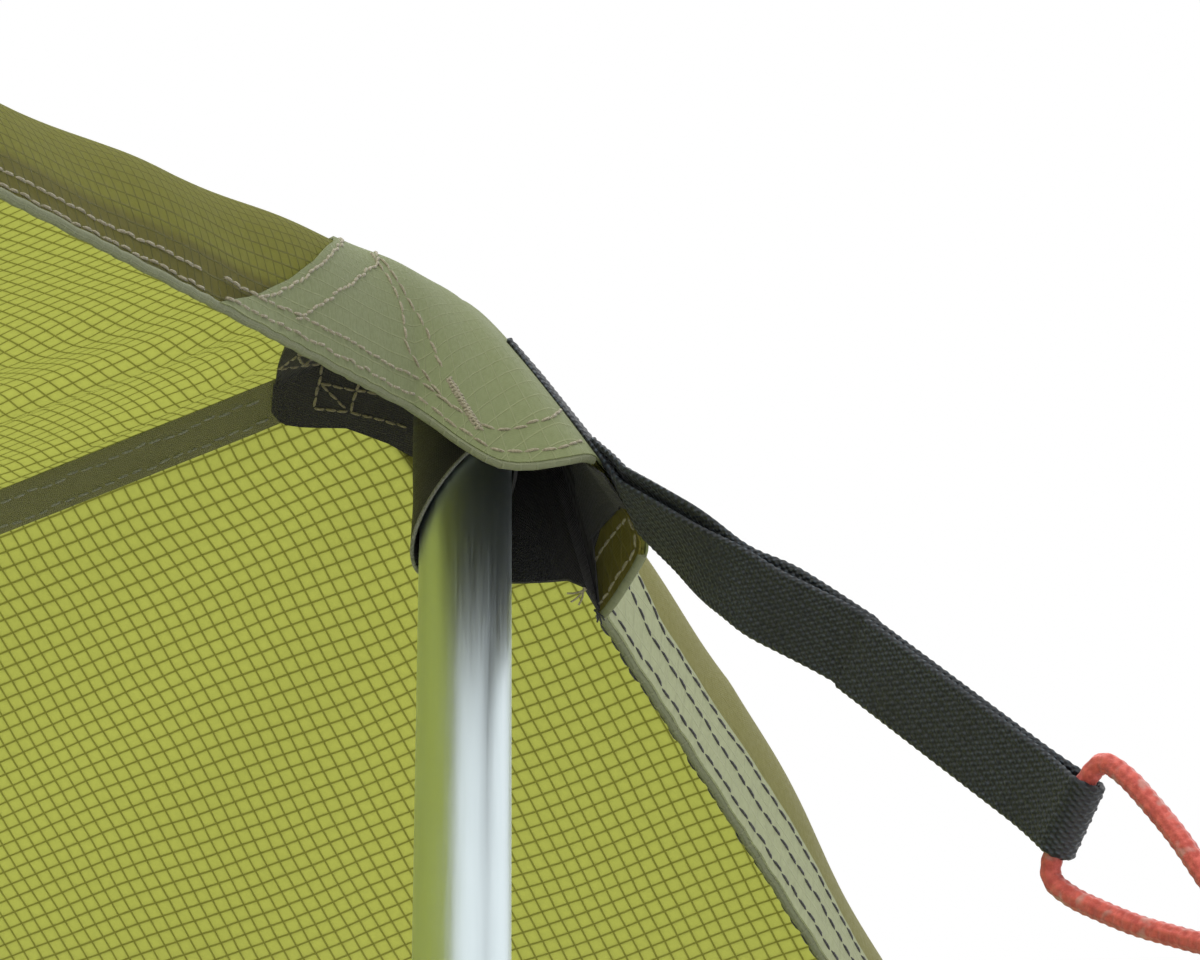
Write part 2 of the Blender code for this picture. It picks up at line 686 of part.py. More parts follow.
def corner_patch(name, end, side):
    """Black patch under a corner of the cloth."""
    rows = [HALF_WIDTH - CORNER_PATCH, HALF_WIDTH]

    def place(column, y):
        point = offset_point(column, side * y, -HALF_STACK)
        return Vector((end * point.x, point.y, point.z))

    obj = sheet(name, CORNER_COLUMNS, rows, place, CLOTH)
    finish_material(obj, BLACK, 0.7)


def peg_loop(name, root, heading, height):
    """Webbing loop that stands on its edge on the ground, with its neck under the cloth's edge."""
    out = Vector((math.cos(heading), math.sin(heading), 0))
    side = Vector((-out.y, out.x, 0))
    gap = WEBBING / 2 + 1.5 * SKIN_GAP
    closed = PEG_LOOP_REACH * PEG_LOOP_CLOSED
    flat = [(-PEG_LOOP_NECK, gap), (closed, gap)]
    for step in range(PEG_LOOP_STEPS + 1):
        angle = PEG_LOOP_TURN * (1 - 2 * step / PEG_LOOP_STEPS)
        flat.append((PEG_LOOP_REACH + PEG_LOOP_RADIUS * math.cos(angle),
                     PEG_LOOP_RADIUS * math.sin(angle)))
    flat += [(closed, -gap), (-PEG_LOOP_NECK, -gap)]
    base = Vector((root.x, root.y, height / 2))
    stations = [(base + out * a + side * b, Vector((0, 0, 1))) for a, b in flat]
    ribbon(name, stations, height / 2, WEBBING, None, SLATE)


def peak(end, turned_round):
    """All the pieces at one end of the ridge, under an empty on the pole's axis."""
    frame = add_object(end + "_peak_frame", None)
    frame.location = (-POLE_X if turned_round else POLE_X, 0, 0)
    frame.rotation_euler = (0, 0, math.pi if turned_round else 0)
    swing = add_object(end + "_swing_axis", None, frame, (0, 0, POCKET_Z))
    slide = add_object(end + "_slide_axis", None, frame)
    lever_frame = add_object(end + "_lever_axis", None, slide)
    peak_hood(end, frame)
    peak_liner(end, frame)
    pocket_web(end, frame)
    pole_pocket(end, swing)
    pole_upper(end, swing)
    pole_lower(end, slide)
    clamp(end, slide, lever_frame)
    end_strap(end, frame)
    guy_cord(end, frame)


def build():
    canopy_half("near_canopy", -1)
    canopy_half("far_canopy", 1)
    ridge_tape()
    for end, turned_round in (("front", False), ("rear", True)):
        peak(end, turned_round)
    for end, end_name in ((1, "front"), (-1, "rear")):
        for side, side_name in ((-1, "near"), (1, "far")):
            corner_patch(f"{end_name}_{side_name}_corner_patch", end, side)
            corner = cloth_point(1.0, side * HALF_WIDTH)
            height = corner.z - HALF_STACK - CLOTH / 2 - SKIN_GAP
            peg_loop(f"{end_name}_{side_name}_peg_loop", Vector((end * corner.x, corner.y, 0)),
                     math.atan2(side, end), height)
    for side, side_name in ((-1, "near"), (1, "far")):
        middle = cloth_point(-POLE_X, side * HALF_WIDTH)
        height = middle.z - CLOTH / 2 - SKIN_GAP
        peg_loop(f"{side_name}_side_peg_loop", Vector((0, middle.y, 0)), side * math.pi / 2, height)


clear_scene()
PARTS = new_collection("camping_tarp")
CUTTERS = new_collection("cutters", hidden=True)
build()
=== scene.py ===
"""Looks of a ripstop camping tarp: its cloth, stitching, webbing, cord, pole finishes and studio."""

import logging
import math
import random
from dataclasses import dataclass, field
from enum import Enum
from typing import Callable, Sequence

import bpy
import numpy as np
from mathutils import Matrix, Vector


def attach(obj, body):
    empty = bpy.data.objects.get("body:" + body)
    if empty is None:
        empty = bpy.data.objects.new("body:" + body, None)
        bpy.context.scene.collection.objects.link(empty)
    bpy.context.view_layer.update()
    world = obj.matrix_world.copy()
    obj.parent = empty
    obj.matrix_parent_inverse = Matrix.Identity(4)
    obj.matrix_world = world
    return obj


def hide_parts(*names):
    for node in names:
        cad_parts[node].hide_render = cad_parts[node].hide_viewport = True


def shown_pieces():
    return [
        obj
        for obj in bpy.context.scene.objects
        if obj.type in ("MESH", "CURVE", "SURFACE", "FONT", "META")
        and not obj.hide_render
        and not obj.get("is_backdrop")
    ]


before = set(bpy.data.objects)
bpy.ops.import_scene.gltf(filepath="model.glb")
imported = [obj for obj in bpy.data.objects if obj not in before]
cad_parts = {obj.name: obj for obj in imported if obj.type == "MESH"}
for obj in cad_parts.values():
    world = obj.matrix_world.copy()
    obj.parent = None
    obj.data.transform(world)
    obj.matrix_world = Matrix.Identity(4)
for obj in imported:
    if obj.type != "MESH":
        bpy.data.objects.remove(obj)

LOG = logging.getLogger("tarp")
Socket = bpy.types.NodeSocket
Colour = tuple[float, float, float]
Place = Callable[[np.ndarray, np.ndarray], np.ndarray]
Trace = Callable[[np.ndarray, np.ndarray], tuple[np.ndarray, np.ndarray]]
Piece = bpy.types.Object
Path = Sequence[tuple[float, float]]
Table = tuple[tuple[float, float], ...]
Frames = tuple[np.ndarray, np.ndarray, np.ndarray]
Stitch = tuple[np.ndarray, np.ndarray, np.ndarray, float]
MERGE_GAP = 0.00001
SOFT_EDGE = 60.0
THREAD_LIFT = 0.00028
STRIP_END = 0.165
LOOP_ROOM = 0.0021


class End(Enum):
    """The two ends of the ridge, by the way they point along X."""

    FRONT = 1
    REAR = -1

    @property
    def word(self) -> str:
        """Name used in the names of pieces."""
        return self.name.lower()


class Side(Enum):
    """The two halves of the cloth, by the way they fall along Y."""

    NEAR = -1
    FAR = 1

    @property
    def word(self) -> str:
        """Name used in the names of pieces."""
        return self.name.lower()


class Body(Enum):
    """Rigid bodies of the frame that pieces ride on, by what they belong to."""

    TARP = "sewn_tarp"
    UPPER = "upper_pole"
    LOWER = "lower_pole"
    LEVER = "lever"

    def at(self, end: End) -> str:
        """Frame's name for the body.

        Args:
            end: End of the ridge that the body stands at.

        Returns:
            The tarp's own name, or the pole part's name with its end.
        """
        return self.value if self is Body.TARP else f"{end.word}_{self.value}"


def walk(points: np.ndarray) -> np.ndarray:
    """Distance walked along a path to each of its points."""
    return np.concatenate([[0], np.cumsum(np.linalg.norm(np.diff(points, axis=0), axis=1))])


def resample(distances: np.ndarray, walked: np.ndarray, table: np.ndarray) -> np.ndarray:
    """Reads each column of a table at distances along the path that it follows."""
    return np.column_stack([np.interp(distances, walked, column) for column in table.T])


def nearest(reading: np.ndarray) -> np.ndarray:
    """Whole numbers nearest to the readings."""
    return np.rint(reading).astype(int)


def read(table: Table, at: np.ndarray) -> np.ndarray:
    """Reads a table of distances and values."""
    return np.interp(at, *zip(*table))


def even_round(radius: float) -> Place:
    """The same radius everywhere on a tube."""
    return lambda along, angle: radius + 0 * along


def braid(radius: float, relief: float, lay: float) -> Place:
    """Radius of a braid along and round it, with strands that cross both ways."""
    return lambda along, angle: radius + relief * (np.sin(4 * angle + along / lay)
                                                   * np.sin(4 * angle - along / lay))


def mirrored(rows: Sequence[float], way: int) -> list[float]:
    """Rows as they are, or the same rows across the ridge where the way is below 0."""
    return list(rows) if way > 0 else [-row for row in reversed(rows)]


class Bench:
    """Lays the nodes of one material."""

    def __init__(self, name: str) -> None:
        """Starts a material with its Principled shader.

        Args:
            name: Name of the material.
        """
        self.material = bpy.data.materials.new(name)
        self.material.use_nodes = True
        self.tree = self.material.node_tree
        self.shader = self.tree.nodes["Principled BSDF"]
        self.output = self.tree.nodes["Material Output"]

    def node(self, kind: str) -> bpy.types.Node:
        """Adds a node of a kind."""
        return self.tree.nodes.new("ShaderNode" + kind)

    def feed(self, socket: Socket, value: object) -> None:
        """Links a socket to another, or sets it to a plain value.

        Args:
            socket: Input that takes the value.
            value: A socket to read, a number, or a colour.
        """
        if isinstance(value, bpy.types.NodeSocket):
            self.tree.links.new(value, socket)
        elif isinstance(value, tuple):
            socket.default_value = (*value, 1.0) if len(socket.default_value) == 4 else value
        else:
            socket.default_value = value

    def surface(self, values: dict[str, object]) -> None:
        """Feeds inputs of the Principled shader by their names."""
        for name, value in values.items():
            self.feed(self.shader.inputs[name], value)

    def number(self, operation: str, *values: object) -> Socket:
        """Arithmetic on up to three numbers.

        Args:
            operation: Name of the Math node's operation.
            values: Sockets or numbers to work on.

        Returns:
            The result's socket.
        """
        node = self.node("Math")
        node.operation = operation
        for socket, value in zip(node.inputs, values):
            self.feed(socket, value)
        return node.outputs[0]

    def fade(self, value: Socket, low: float, high: float, start: float = 0.0, end: float = 1.0) -> Socket:
        """Smooth reading of a value between two limits.

        Args:
            value: Socket to read.
            low: Value at which the result is start.
            high: Value at which the result is end.
            start: Result at low and below.
            end: Result at high and above.

        Returns:
            The result's socket.
        """
        node = self.node("MapRange")
        node.interpolation_type = "SMOOTHSTEP"
        for socket, number in zip(node.inputs, (value, low, high, start, end)):
            self.feed(socket, number)
        return node.outputs[0]

    def shade(self, factor: object, first: object, second: object) -> Socket:
        """Mixes two colours.

        Args:
            factor: Share of the second colour.
            first: Colour or socket.
            second: Colour or socket.

        Returns:
            The mixed colour's socket.
        """
        node = self.node("Mix")
        node.data_type = "RGBA"
        colours = [socket for socket in node.inputs if socket.type == "RGBA"]
        self.feed(node.inputs[0], factor)
        self.feed(colours[0], first)
        self.feed(colours[1], second)
        return next(socket for socket in node.outputs if socket.type == "RGBA")

    def space(self, on_cloth: bool) -> Socket:
        """Coordinates of the pattern: the piece's own flat map, or its place."""
        node = self.node("TexCoord")
        return node.outputs["UV" if on_cloth else "Object"]

    def axes(self, space: Socket) -> tuple[Socket, Socket, Socket]:
        """Splits coordinates into their three numbers.

        Args:
            space: Coordinates to split.

        Returns:
            The sockets of the three numbers.
        """
        node = self.node("SeparateXYZ")
        self.feed(node.inputs[0], space)
        return node.outputs[0], node.outputs[1], node.outputs[2]

    def noise(self, space: Socket, scale: float, detail: float = 3.0, rough: float = 0.5) -> Socket:
        """Soft noise on coordinates.

        Args:
            space: Coordinates to read.
            scale: Waves per metre.
            detail: Number of finer layers.
            rough: Strength of the finer layers.

        Returns:
            A number from 0 to 1.
        """
        node = self.node("TexNoise")
        self.feed(node.inputs["Vector"], space)
        self.feed(node.inputs["Scale"], scale)
        self.feed(node.inputs["Detail"], detail)
        self.feed(node.inputs["Roughness"], rough)
        return node.outputs[0]

    def bump(self, height: Socket, depth: float, strength: float = 1.0) -> Socket:
        """Turns a height from 0 to 1 into a bent normal of a real depth in metres.

        Args:
            height: Height to read.
            depth: Depth for a height of 1.
            strength: Share of the bend to use.

        Returns:
            The normal's socket.
        """
        node = self.node("Bump")
        self.feed(node.inputs["Strength"], strength)
        self.feed(node.inputs["Distance"], depth)
        self.feed(node.inputs["Height"], height)
        return node.outputs["Normal"]

    def line(self, along: Socket, pitch: float, width: float) -> Socket:
        """Repeating line: 1 on each multiple of the pitch, 0 past its width."""
        away = self.number("PINGPONG", along, pitch / 2)
        return self.fade(away, width * 0.35, width, 1.0, 0.0)


@dataclass(frozen=True)
class ClothFinish:
    """Coated ripstop: woven cells between thicker threads, with light coming through."""

    name: str
    face: Colour
    thread: Colour
    through: Colour
    through_thread: Colour
    share: float = 0.5
    cell: float = 0.0034
    line: float = 0.00030
    roughness: float = 0.5
    weave: float = 0.00022

    def build(self) -> bpy.types.Material:
        """Lays the material's nodes.

        Returns:
            The finished material.
        """
        bench = Bench(self.name)
        space = bench.space(True)
        u, v, _ = bench.axes(space)
        sway = bench.number("MULTIPLY", bench.number("SUBTRACT", bench.noise(space, 22.0), 0.5), 0.0022)
        across = bench.line(bench.number("ADD", u, sway), self.cell, self.line)
        down = bench.line(bench.number("ADD", v, sway), self.cell, self.line)
        grid = bench.number("MAXIMUM", across, down)
        cloud = bench.fade(bench.noise(space, 9.0, 4.0), 0.3, 0.7)
        fleck = bench.fade(bench.noise(space, 900.0, 2.0, 0.7), 0.3, 0.72)
        face = bench.shade(bench.number("MULTIPLY", cloud, 0.3), self.face,
                           tuple(0.82 * part for part in self.face))
        face = bench.shade(bench.number("MULTIPLY", fleck, 0.35), face,
                           tuple(0.72 * part for part in self.face))
        face = bench.shade(bench.number("MULTIPLY", grid, 0.62), face, self.thread)
        through = bench.shade(bench.number("MULTIPLY", fleck, 0.3), self.through,
                              tuple(0.86 * part for part in self.through))
        through = bench.shade(bench.number("MULTIPLY", grid, 0.85), through, self.through_thread)
        warp = bench.number("SINE", bench.number("MULTIPLY", u, 2 * math.pi / self.weave / 2))
        weft = bench.number("SINE", bench.number("MULTIPLY", v, 2 * math.pi / self.weave / 2))
        woven = bench.number("MULTIPLY", warp, weft)
        height = bench.number("ADD", bench.number("MULTIPLY", woven, 0.12),
                              bench.number("MULTIPLY", grid, 0.9))
        height = bench.number("ADD", height, bench.number("MULTIPLY", bench.noise(space, 120.0, 3.0), 1.6))
        normal = bench.bump(height, 0.00022, 0.7)
        rough = bench.fade(fleck, 0.0, 1.0, self.roughness - 0.05, self.roughness + 0.1)
        bench.surface({"Base Color": face, "Normal": normal, "Roughness": rough, "Sheen Weight": 0.04,
                       "Specular IOR Level": 0.1})
        glow = bench.node("BsdfTranslucent")
        bench.feed(glow.inputs["Color"], through)
        bench.feed(glow.inputs["Normal"], normal)
        mixed = bench.node("MixShader")
        bench.feed(mixed.inputs[0], self.share)
        bench.feed(mixed.inputs[1], bench.shader.outputs[0])
        bench.feed(mixed.inputs[2], glow.outputs[0])
        bench.feed(bench.output.inputs["Surface"], mixed.outputs[0])
        return bench.material


@dataclass(frozen=True)
class WovenFinish:
    """Plain black cloth or webbing: threads that cross, with a soft sheen and a painted highlight on the
    threads' crowns.
    """

    name: str
    base: Colour
    # Colour of the painted highlight on the threads' crowns.
    glint: Colour
    pitch_along: float = 0.0009
    pitch_across: float = 0.0007
    depth: float = 0.0002
    roughness: float = 0.6
    sheen: float = 0.3

    def build(self) -> bpy.types.Material:
        """Lays the material's nodes.

        Returns:
            The finished material.
        """
        bench = Bench(self.name)
        space = bench.space(True)
        u, v, _ = bench.axes(space)
        along = bench.number("SINE", bench.number("MULTIPLY", u, 2 * math.pi / self.pitch_along))
        across = bench.number("SINE", bench.number("MULTIPLY", v, 2 * math.pi / self.pitch_across))
        woven = bench.number("MULTIPLY", along, across)
        # Noise that makes the painted highlight stronger in some patches and weaker in others.
        glint_patches = bench.noise(space, 60.0, 4.0)
        grain = bench.noise(space, 2400.0, 2.0, 0.6)
        # Painted highlight: the colour turns towards the glint colour where the weave is raised.
        lit = bench.fade(bench.number("ADD", woven, bench.number("MULTIPLY", grain, 0.5)), 0.2, 1.3)
        lit = bench.number("MULTIPLY", lit, bench.fade(glint_patches, 0.25, 0.75, 0.25, 1.0))
        height = bench.number("ADD", woven, bench.number("MULTIPLY", grain, 0.8))
        rough = bench.fade(grain, 0.2, 0.8, self.roughness - 0.15, self.roughness + 0.12)
        bench.surface({"Base Color": bench.shade(lit, self.base, self.glint),
                       "Normal": bench.bump(height, self.depth, 0.8), "Roughness": rough,
                       "Sheen Weight": self.sheen, "Sheen Roughness": 0.4})
        return bench.material


@dataclass(frozen=True)
class YarnFinish:
    """Spun or braided yarn: soft colour with lighter and darker strands."""

    name: str
    base: Colour
    dark: Colour
    fleck: Colour
    scale: float = 900.0
    roughness: float = 0.7
    flecks: float = 0.4

    def build(self) -> bpy.types.Material:
        """Lays the material's nodes.

        Returns:
            The finished material.
        """
        bench = Bench(self.name)
        space = bench.space(False)
        strands = bench.fade(bench.noise(space, self.scale, 3.0, 0.6), 0.3, 0.7)
        worn = bench.fade(bench.noise(space, self.scale * 0.35, 2.0), 0.58, 0.72)
        colour = bench.shade(strands, self.dark, self.base)
        colour = bench.shade(bench.number("MULTIPLY", worn, self.flecks), colour, self.fleck)
        rough = bench.fade(strands, 0.0, 1.0, self.roughness + 0.1, self.roughness - 0.1)
        bench.surface({"Base Color": colour, "Normal": bench.bump(strands, 0.00012, 0.6),
                       "Roughness": rough, "Sheen Weight": 0.25})
        return bench.material


@dataclass(frozen=True)
class MetalFinish:
    """Drawn or blasted metal with fine marks along its length."""

    name: str
    base: Colour
    roughness: float
    drawn: float = 40.0
    depth: float = 0.000015

    def build(self) -> bpy.types.Material:
        """Lays the material's nodes.

        Returns:
            The finished material.
        """
        bench = Bench(self.name)
        space = bench.space(False)
        stretch = bench.node("Mapping")
        bench.feed(stretch.inputs["Vector"], space)
        bench.feed(stretch.inputs["Scale"], (1.0, 1.0, 1.0 / self.drawn))
        marks = bench.noise(stretch.outputs[0], 1800.0, 3.0, 0.55)
        haze = bench.noise(space, 14.0, 3.0)
        shade = bench.fade(haze, 0.3, 0.7, 0.0, 0.5)
        colour = bench.shade(shade, self.base, tuple(0.9 * part for part in self.base))
        rough = bench.fade(marks, 0.2, 0.8, self.roughness - 0.05, self.roughness + 0.07)
        bench.surface({"Base Color": colour, "Metallic": 1.0, "Roughness": rough,
                       "Normal": bench.bump(marks, self.depth, 0.6)})
        return bench.material


@dataclass(frozen=True)
class MouldedFinish:
    """Moulded plastic or rubber with a fine spark texture and scuffs."""

    name: str
    base: Colour
    scuff: Colour
    roughness: float
    grain: float = 1500.0

    def build(self) -> bpy.types.Material:
        """Lays the material's nodes.

        Returns:
            The finished material.
        """
        bench = Bench(self.name)
        space = bench.space(False)
        grain = bench.noise(space, self.grain, 3.0)
        scuffs = bench.fade(bench.noise(space, 90.0, 5.0, 0.65), 0.55, 0.75, 0.0, 0.5)
        rough = bench.fade(grain, 0.25, 0.75, self.roughness - 0.06, self.roughness + 0.1)
        bench.surface({"Base Color": bench.shade(scuffs, self.base, self.scuff), "Roughness": rough,
                       "Normal": bench.bump(grain, 0.00006, 0.5)})
        return bench.material


class Palette:
    """All the finishes of the tarp, each laid once."""

    def __init__(self) -> None:
        """Lays every finish."""
        self.ripstop = ClothFinish("ripstop_cloth", (0.208, 0.188, 0.038), (0.20, 0.20, 0.075),
                                   (0.68, 0.71, 0.31), (0.25, 0.25, 0.07), 0.62).build()
        self.hood = ClothFinish("hood_cloth", (0.228, 0.260, 0.123), (0.290, 0.315, 0.160),
                                (0.40, 0.42, 0.14), (0.30, 0.31, 0.08), 0.22, 0.0034, 0.00020).build()
        self.strip = ClothFinish("strip_cloth", (0.485, 0.52, 0.32), (0.50, 0.53, 0.33),
                                 (0.40, 0.42, 0.14), (0.36, 0.37, 0.17), 0.2, 0.0034, 0.00020).build()
        self.facing = ClothFinish("facing_cloth", (0.290, 0.278, 0.098), (0.30, 0.29, 0.11),
                                  (0.40, 0.40, 0.10), (0.38, 0.38, 0.10), 0.25, 0.0034, 0.00003).build()
        self.hem = ClothFinish("hem_cloth", (0.165, 0.140, 0.026), (0.22, 0.195, 0.06),
                               (0.40, 0.40, 0.05), (0.25, 0.25, 0.03), 0.3).build()
        self.fold = ClothFinish("hem_fold", (0.26, 0.28, 0.17), (0.30, 0.32, 0.20),
                                (0.40, 0.42, 0.18), (0.34, 0.36, 0.14), 0.2).build()
        self.band = WovenFinish("seam_band", (0.155, 0.155, 0.064), (0.24, 0.24, 0.120), 0.0006, 0.0006,
                                0.0001, 0.65, 0.2).build()
        self.liner = WovenFinish("black_cloth", (0.012, 0.012, 0.0115), (0.035, 0.036, 0.034), 0.0008, 0.0008,
                                 0.00012, 0.6, 0.12).build()
        self.webbing = WovenFinish("webbing", (0.006, 0.008, 0.010), (0.045, 0.062, 0.078), 0.0019, 0.0011,
                                   0.00012, 0.5, 0.08).build()
        self.thread = YarnFinish("tan_thread", (0.30, 0.27, 0.165), (0.17, 0.15, 0.085),
                                 (0.40, 0.35, 0.24), 2200.0).build()
        self.grey_thread = YarnFinish("grey_thread", (0.26, 0.27, 0.22), (0.14, 0.145, 0.11),
                                      (0.34, 0.35, 0.30), 2200.0).build()
        self.dark_thread = YarnFinish("dark_thread", (0.045, 0.045, 0.04), (0.02, 0.02, 0.018),
                                      (0.09, 0.09, 0.08), 2200.0).build()
        self.black_thread = YarnFinish("black_thread", (0.02, 0.022, 0.025), (0.008, 0.009, 0.010),
                                       (0.05, 0.06, 0.07), 2200.0).build()
        self.cord = YarnFinish("coral_cord", (0.60, 0.105, 0.075), (0.40, 0.055, 0.04),
                               (0.46, 0.28, 0.24), 700.0, 0.62, 0.55).build()
        self.tube = MetalFinish("satin_tube", (0.77, 0.87, 0.90), 0.40, 40.0, 0.000003).build()
        self.lever = MetalFinish("blasted_lever", (0.52, 0.54, 0.55), 0.42, 1.0, 0.00004).build()
        self.pin = MetalFinish("steel_pin", (0.58, 0.58, 0.58), 0.22, 1.0).build()
        self.plastic = MouldedFinish("black_plastic", (0.016, 0.016, 0.017), (0.045, 0.045, 0.045),
                                     0.42).build()
        self.rubber = MouldedFinish("black_rubber", (0.014, 0.014, 0.014), (0.06, 0.055, 0.05), 0.72).build()


class Workshop:
    """Modelling steps that the pieces share."""

    @staticmethod
    def deselect() -> None:
        """Clears the selection, which the frame's nodes start with."""
        bpy.ops.object.select_all(action="DESELECT")

    @classmethod
    def choose(cls, *pieces: Piece) -> Piece:
        """Selects pieces alone and makes the first active.

        Args:
            pieces: Pieces to select, the one to make active first.

        Returns:
            The active piece.
        """
        cls.deselect()
        for piece in pieces:
            piece.select_set(True)
        bpy.context.view_layer.objects.active = pieces[0]
        return pieces[0]

    @classmethod
    def grid(cls, name: str, columns: Sequence[float], rows: Sequence[float], place: Place,
             flat: Place | None = None) -> Piece:
        """Grid primitive whose corners are moved to their places on a surface.

        Args:
            name: Name of the piece.
            columns: Readings across the grid.
            rows: Readings up the grid.
            place: Gives each corner's place from its column and row.
            flat: Gives each corner's place on the flat cloth, for its pattern.

        Returns:
            The open surface.
        """
        cls.deselect()
        across, up = len(columns) - 1, len(rows) - 1
        bpy.ops.mesh.primitive_grid_add(x_subdivisions=across, y_subdivisions=up, size=2, calc_uvs=True)
        piece = bpy.context.active_object
        piece.name = piece.data.name = name
        mesh = piece.data
        start = np.empty(3 * len(mesh.vertices), np.float32)
        mesh.vertices.foreach_get("co", start)
        start = start.reshape(-1, 3)
        column = np.asarray(columns, float)[nearest((start[:, 0] + 1) / 2 * across)]
        row = np.asarray(rows, float)[nearest((start[:, 1] + 1) / 2 * up)]
        mesh.vertices.foreach_set("co", place(column, row).astype(np.float32).ravel())
        spread = np.column_stack([column, row]) if flat is None else flat(column, row)
        corner = np.empty(len(mesh.loops), np.int32)
        mesh.loops.foreach_get("vertex_index", corner)
        mesh.uv_layers[0].data.foreach_set("uv", spread[corner][:, :2].astype(np.float32).ravel())
        mesh.update()
        return piece

    @classmethod
    def apply(cls, piece: Piece, kind: str, **settings: object) -> None:
        """Adds a modifier, sets it and applies it.

        Args:
            piece: Piece to change.
            kind: Kind of modifier.
            settings: Its values by name.
        """
        cls.choose(piece)
        modifier = piece.modifiers.new("step", kind)
        for key, value in settings.items():
            setattr(modifier, key, value)
        bpy.ops.object.modifier_apply(modifier=modifier.name)

    @classmethod
    def wall(cls, piece: Piece, thickness: float) -> Piece:
        """Gives a surface its thickness, half to each side, and smooth shading.

        Args:
            piece: Piece to change.
            thickness: Thickness of the wall.

        Returns:
            The same piece.
        """
        cls.apply(piece, "SOLIDIFY", thickness=thickness, offset=0.0, use_even_offset=False)
        cls.smooth(piece)
        return piece

    @classmethod
    def smooth(cls, piece: Piece, angle: float = 40.0) -> None:
        """Shades a piece smooth up to an angle between faces."""
        cls.choose(piece)
        bpy.ops.object.shade_smooth_by_angle(angle=math.radians(angle))

    @classmethod
    def tube(cls, name: str, path: np.ndarray, radius: Place, sides: int) -> Piece:
        """Closed tube along a path, whose radius may change along and round it.

        Args:
            name: Name of the piece.
            path: Points that the middle follows.
            radius: Gives the radius from the distance along and the angle round.
            sides: Corners round the tube.

        Returns:
            The tube with round ends closed by flat caps.
        """
        steps = np.gradient(path, axis=0)
        steps /= np.linalg.norm(steps, axis=1)[:, None]
        walked = walk(path)
        sides_way = np.zeros_like(path)
        first = np.cross(steps[0], (0.31, 0.77, 0.55))
        sides_way[0] = first / np.linalg.norm(first)
        for count in range(1, len(path)):
            way = sides_way[count - 1] - steps[count] * (sides_way[count - 1] @ steps[count])
            sides_way[count] = way / np.linalg.norm(way)
        up_way = np.cross(steps, sides_way)

        def place(column: np.ndarray, row: np.ndarray) -> np.ndarray:
            """Point on the tube for a station and a corner.

            Args:
                column: Stations along the path.
                row: Corners round the tube.

            Returns:
                One point a corner.
            """
            station = nearest(column)
            angle = 2 * math.pi * row / sides
            reach = radius(walked[station], angle)
            return (path[station] + (reach * np.cos(angle))[:, None] * sides_way[station]
                    + (reach * np.sin(angle))[:, None] * up_way[station])

        piece = cls.grid(name, list(range(len(path))), list(range(sides + 1)), place,
                         lambda column, row: np.column_stack([walked[nearest(column)],
                                                              0.01 * row / sides]))
        return cls.seal(piece, MERGE_GAP / 2)

    @classmethod
    def seal(cls, piece: Piece, gap: float) -> Piece:
        """Merges doubled corners, caps open ends, turns the faces outward and shades them smooth.

        Args:
            piece: Piece with open ends.
            gap: Distance within which corners are merged.

        Returns:
            The same piece, closed.
        """
        cls.choose(piece)
        bpy.ops.object.mode_set(mode="EDIT")
        bpy.ops.mesh.select_all(action="SELECT")
        bpy.ops.mesh.remove_doubles(threshold=gap)
        bpy.ops.mesh.select_all(action="DESELECT")
        bpy.ops.mesh.select_mode(type="EDGE")
        bpy.ops.mesh.select_non_manifold(extend=False)
        bpy.ops.mesh.fill_holes(sides=0)
        bpy.ops.mesh.select_all(action="SELECT")
        bpy.ops.mesh.normals_make_consistent(inside=False)
        bpy.ops.mesh.select_mode(type="VERT")
        bpy.ops.object.mode_set(mode="OBJECT")
        cls.smooth(piece, SOFT_EDGE)
        return piece

    @classmethod
    def ribbon(cls, name: str, distances: np.ndarray, rows: int, width: float,
               place: Callable[[np.ndarray, np.ndarray, int], np.ndarray]) -> Piece:
        """Closed length of webbing, from a grid for each of its two faces.

        Args:
            name: Name of the piece.
            distances: Distances along the webbing, one a station.
            rows: Number of corners across it.
            width: Its width.
            place: Gives points from stations, shares of the half width and the face, 1 or -1.

        Returns:
            The closed ribbon.
        """
        faces = [cls.grid("face", list(range(len(distances))), list(np.linspace(-1, 1, rows)),
                          lambda index, share, face=face: place(nearest(index), share, face),
                          lambda index, share: np.column_stack([distances[nearest(index)],
                                                                share * width / 2]))
                 for face in (1, -1)]
        return cls.seal(cls.join(name, faces), MERGE_GAP)

    @classmethod
    def join(cls, name: str, pieces: list[Piece]) -> Piece:
        """Joins pieces into one mesh under a name.

        Args:
            name: Name of the joined piece.
            pieces: Pieces to join, into the first.

        Returns:
            The joined piece.
        """
        kept = cls.choose(*pieces)
        if len(pieces) > 1:
            bpy.ops.object.join()
        kept.name = kept.data.name = name
        return kept

    @staticmethod
    def turn_to(piece: Piece, end: End) -> None:
        """Turns a piece modelled at the front half round the ridge's middle, if it is for the rear.

        Args:
            piece: Piece to change.
            end: End that the piece is for.
        """
        if end is End.REAR:
            piece.data.transform(Matrix.Rotation(math.pi, 4, "Z"))
            piece.data.update()

    @staticmethod
    def dress(piece: Piece, material: bpy.types.Material, slot: str, body: str,
              *nodes: str) -> Piece:
        """Gives a piece its finish, its body and the nodes it stands for.

        Args:
            piece: Finished piece.
            material: Its finish.
            slot: Not used.
            body: Body that it rides on.
            nodes: Frame nodes that it replaces.

        Returns:
            The same piece.
        """
        piece.data.materials.clear()
        piece.data.materials.append(material)
        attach(piece, body)
        if nodes:
            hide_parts(*nodes)
        LOG.info("%s: %d faces, on %s", piece.name, len(piece.data.polygons), body)
        return piece


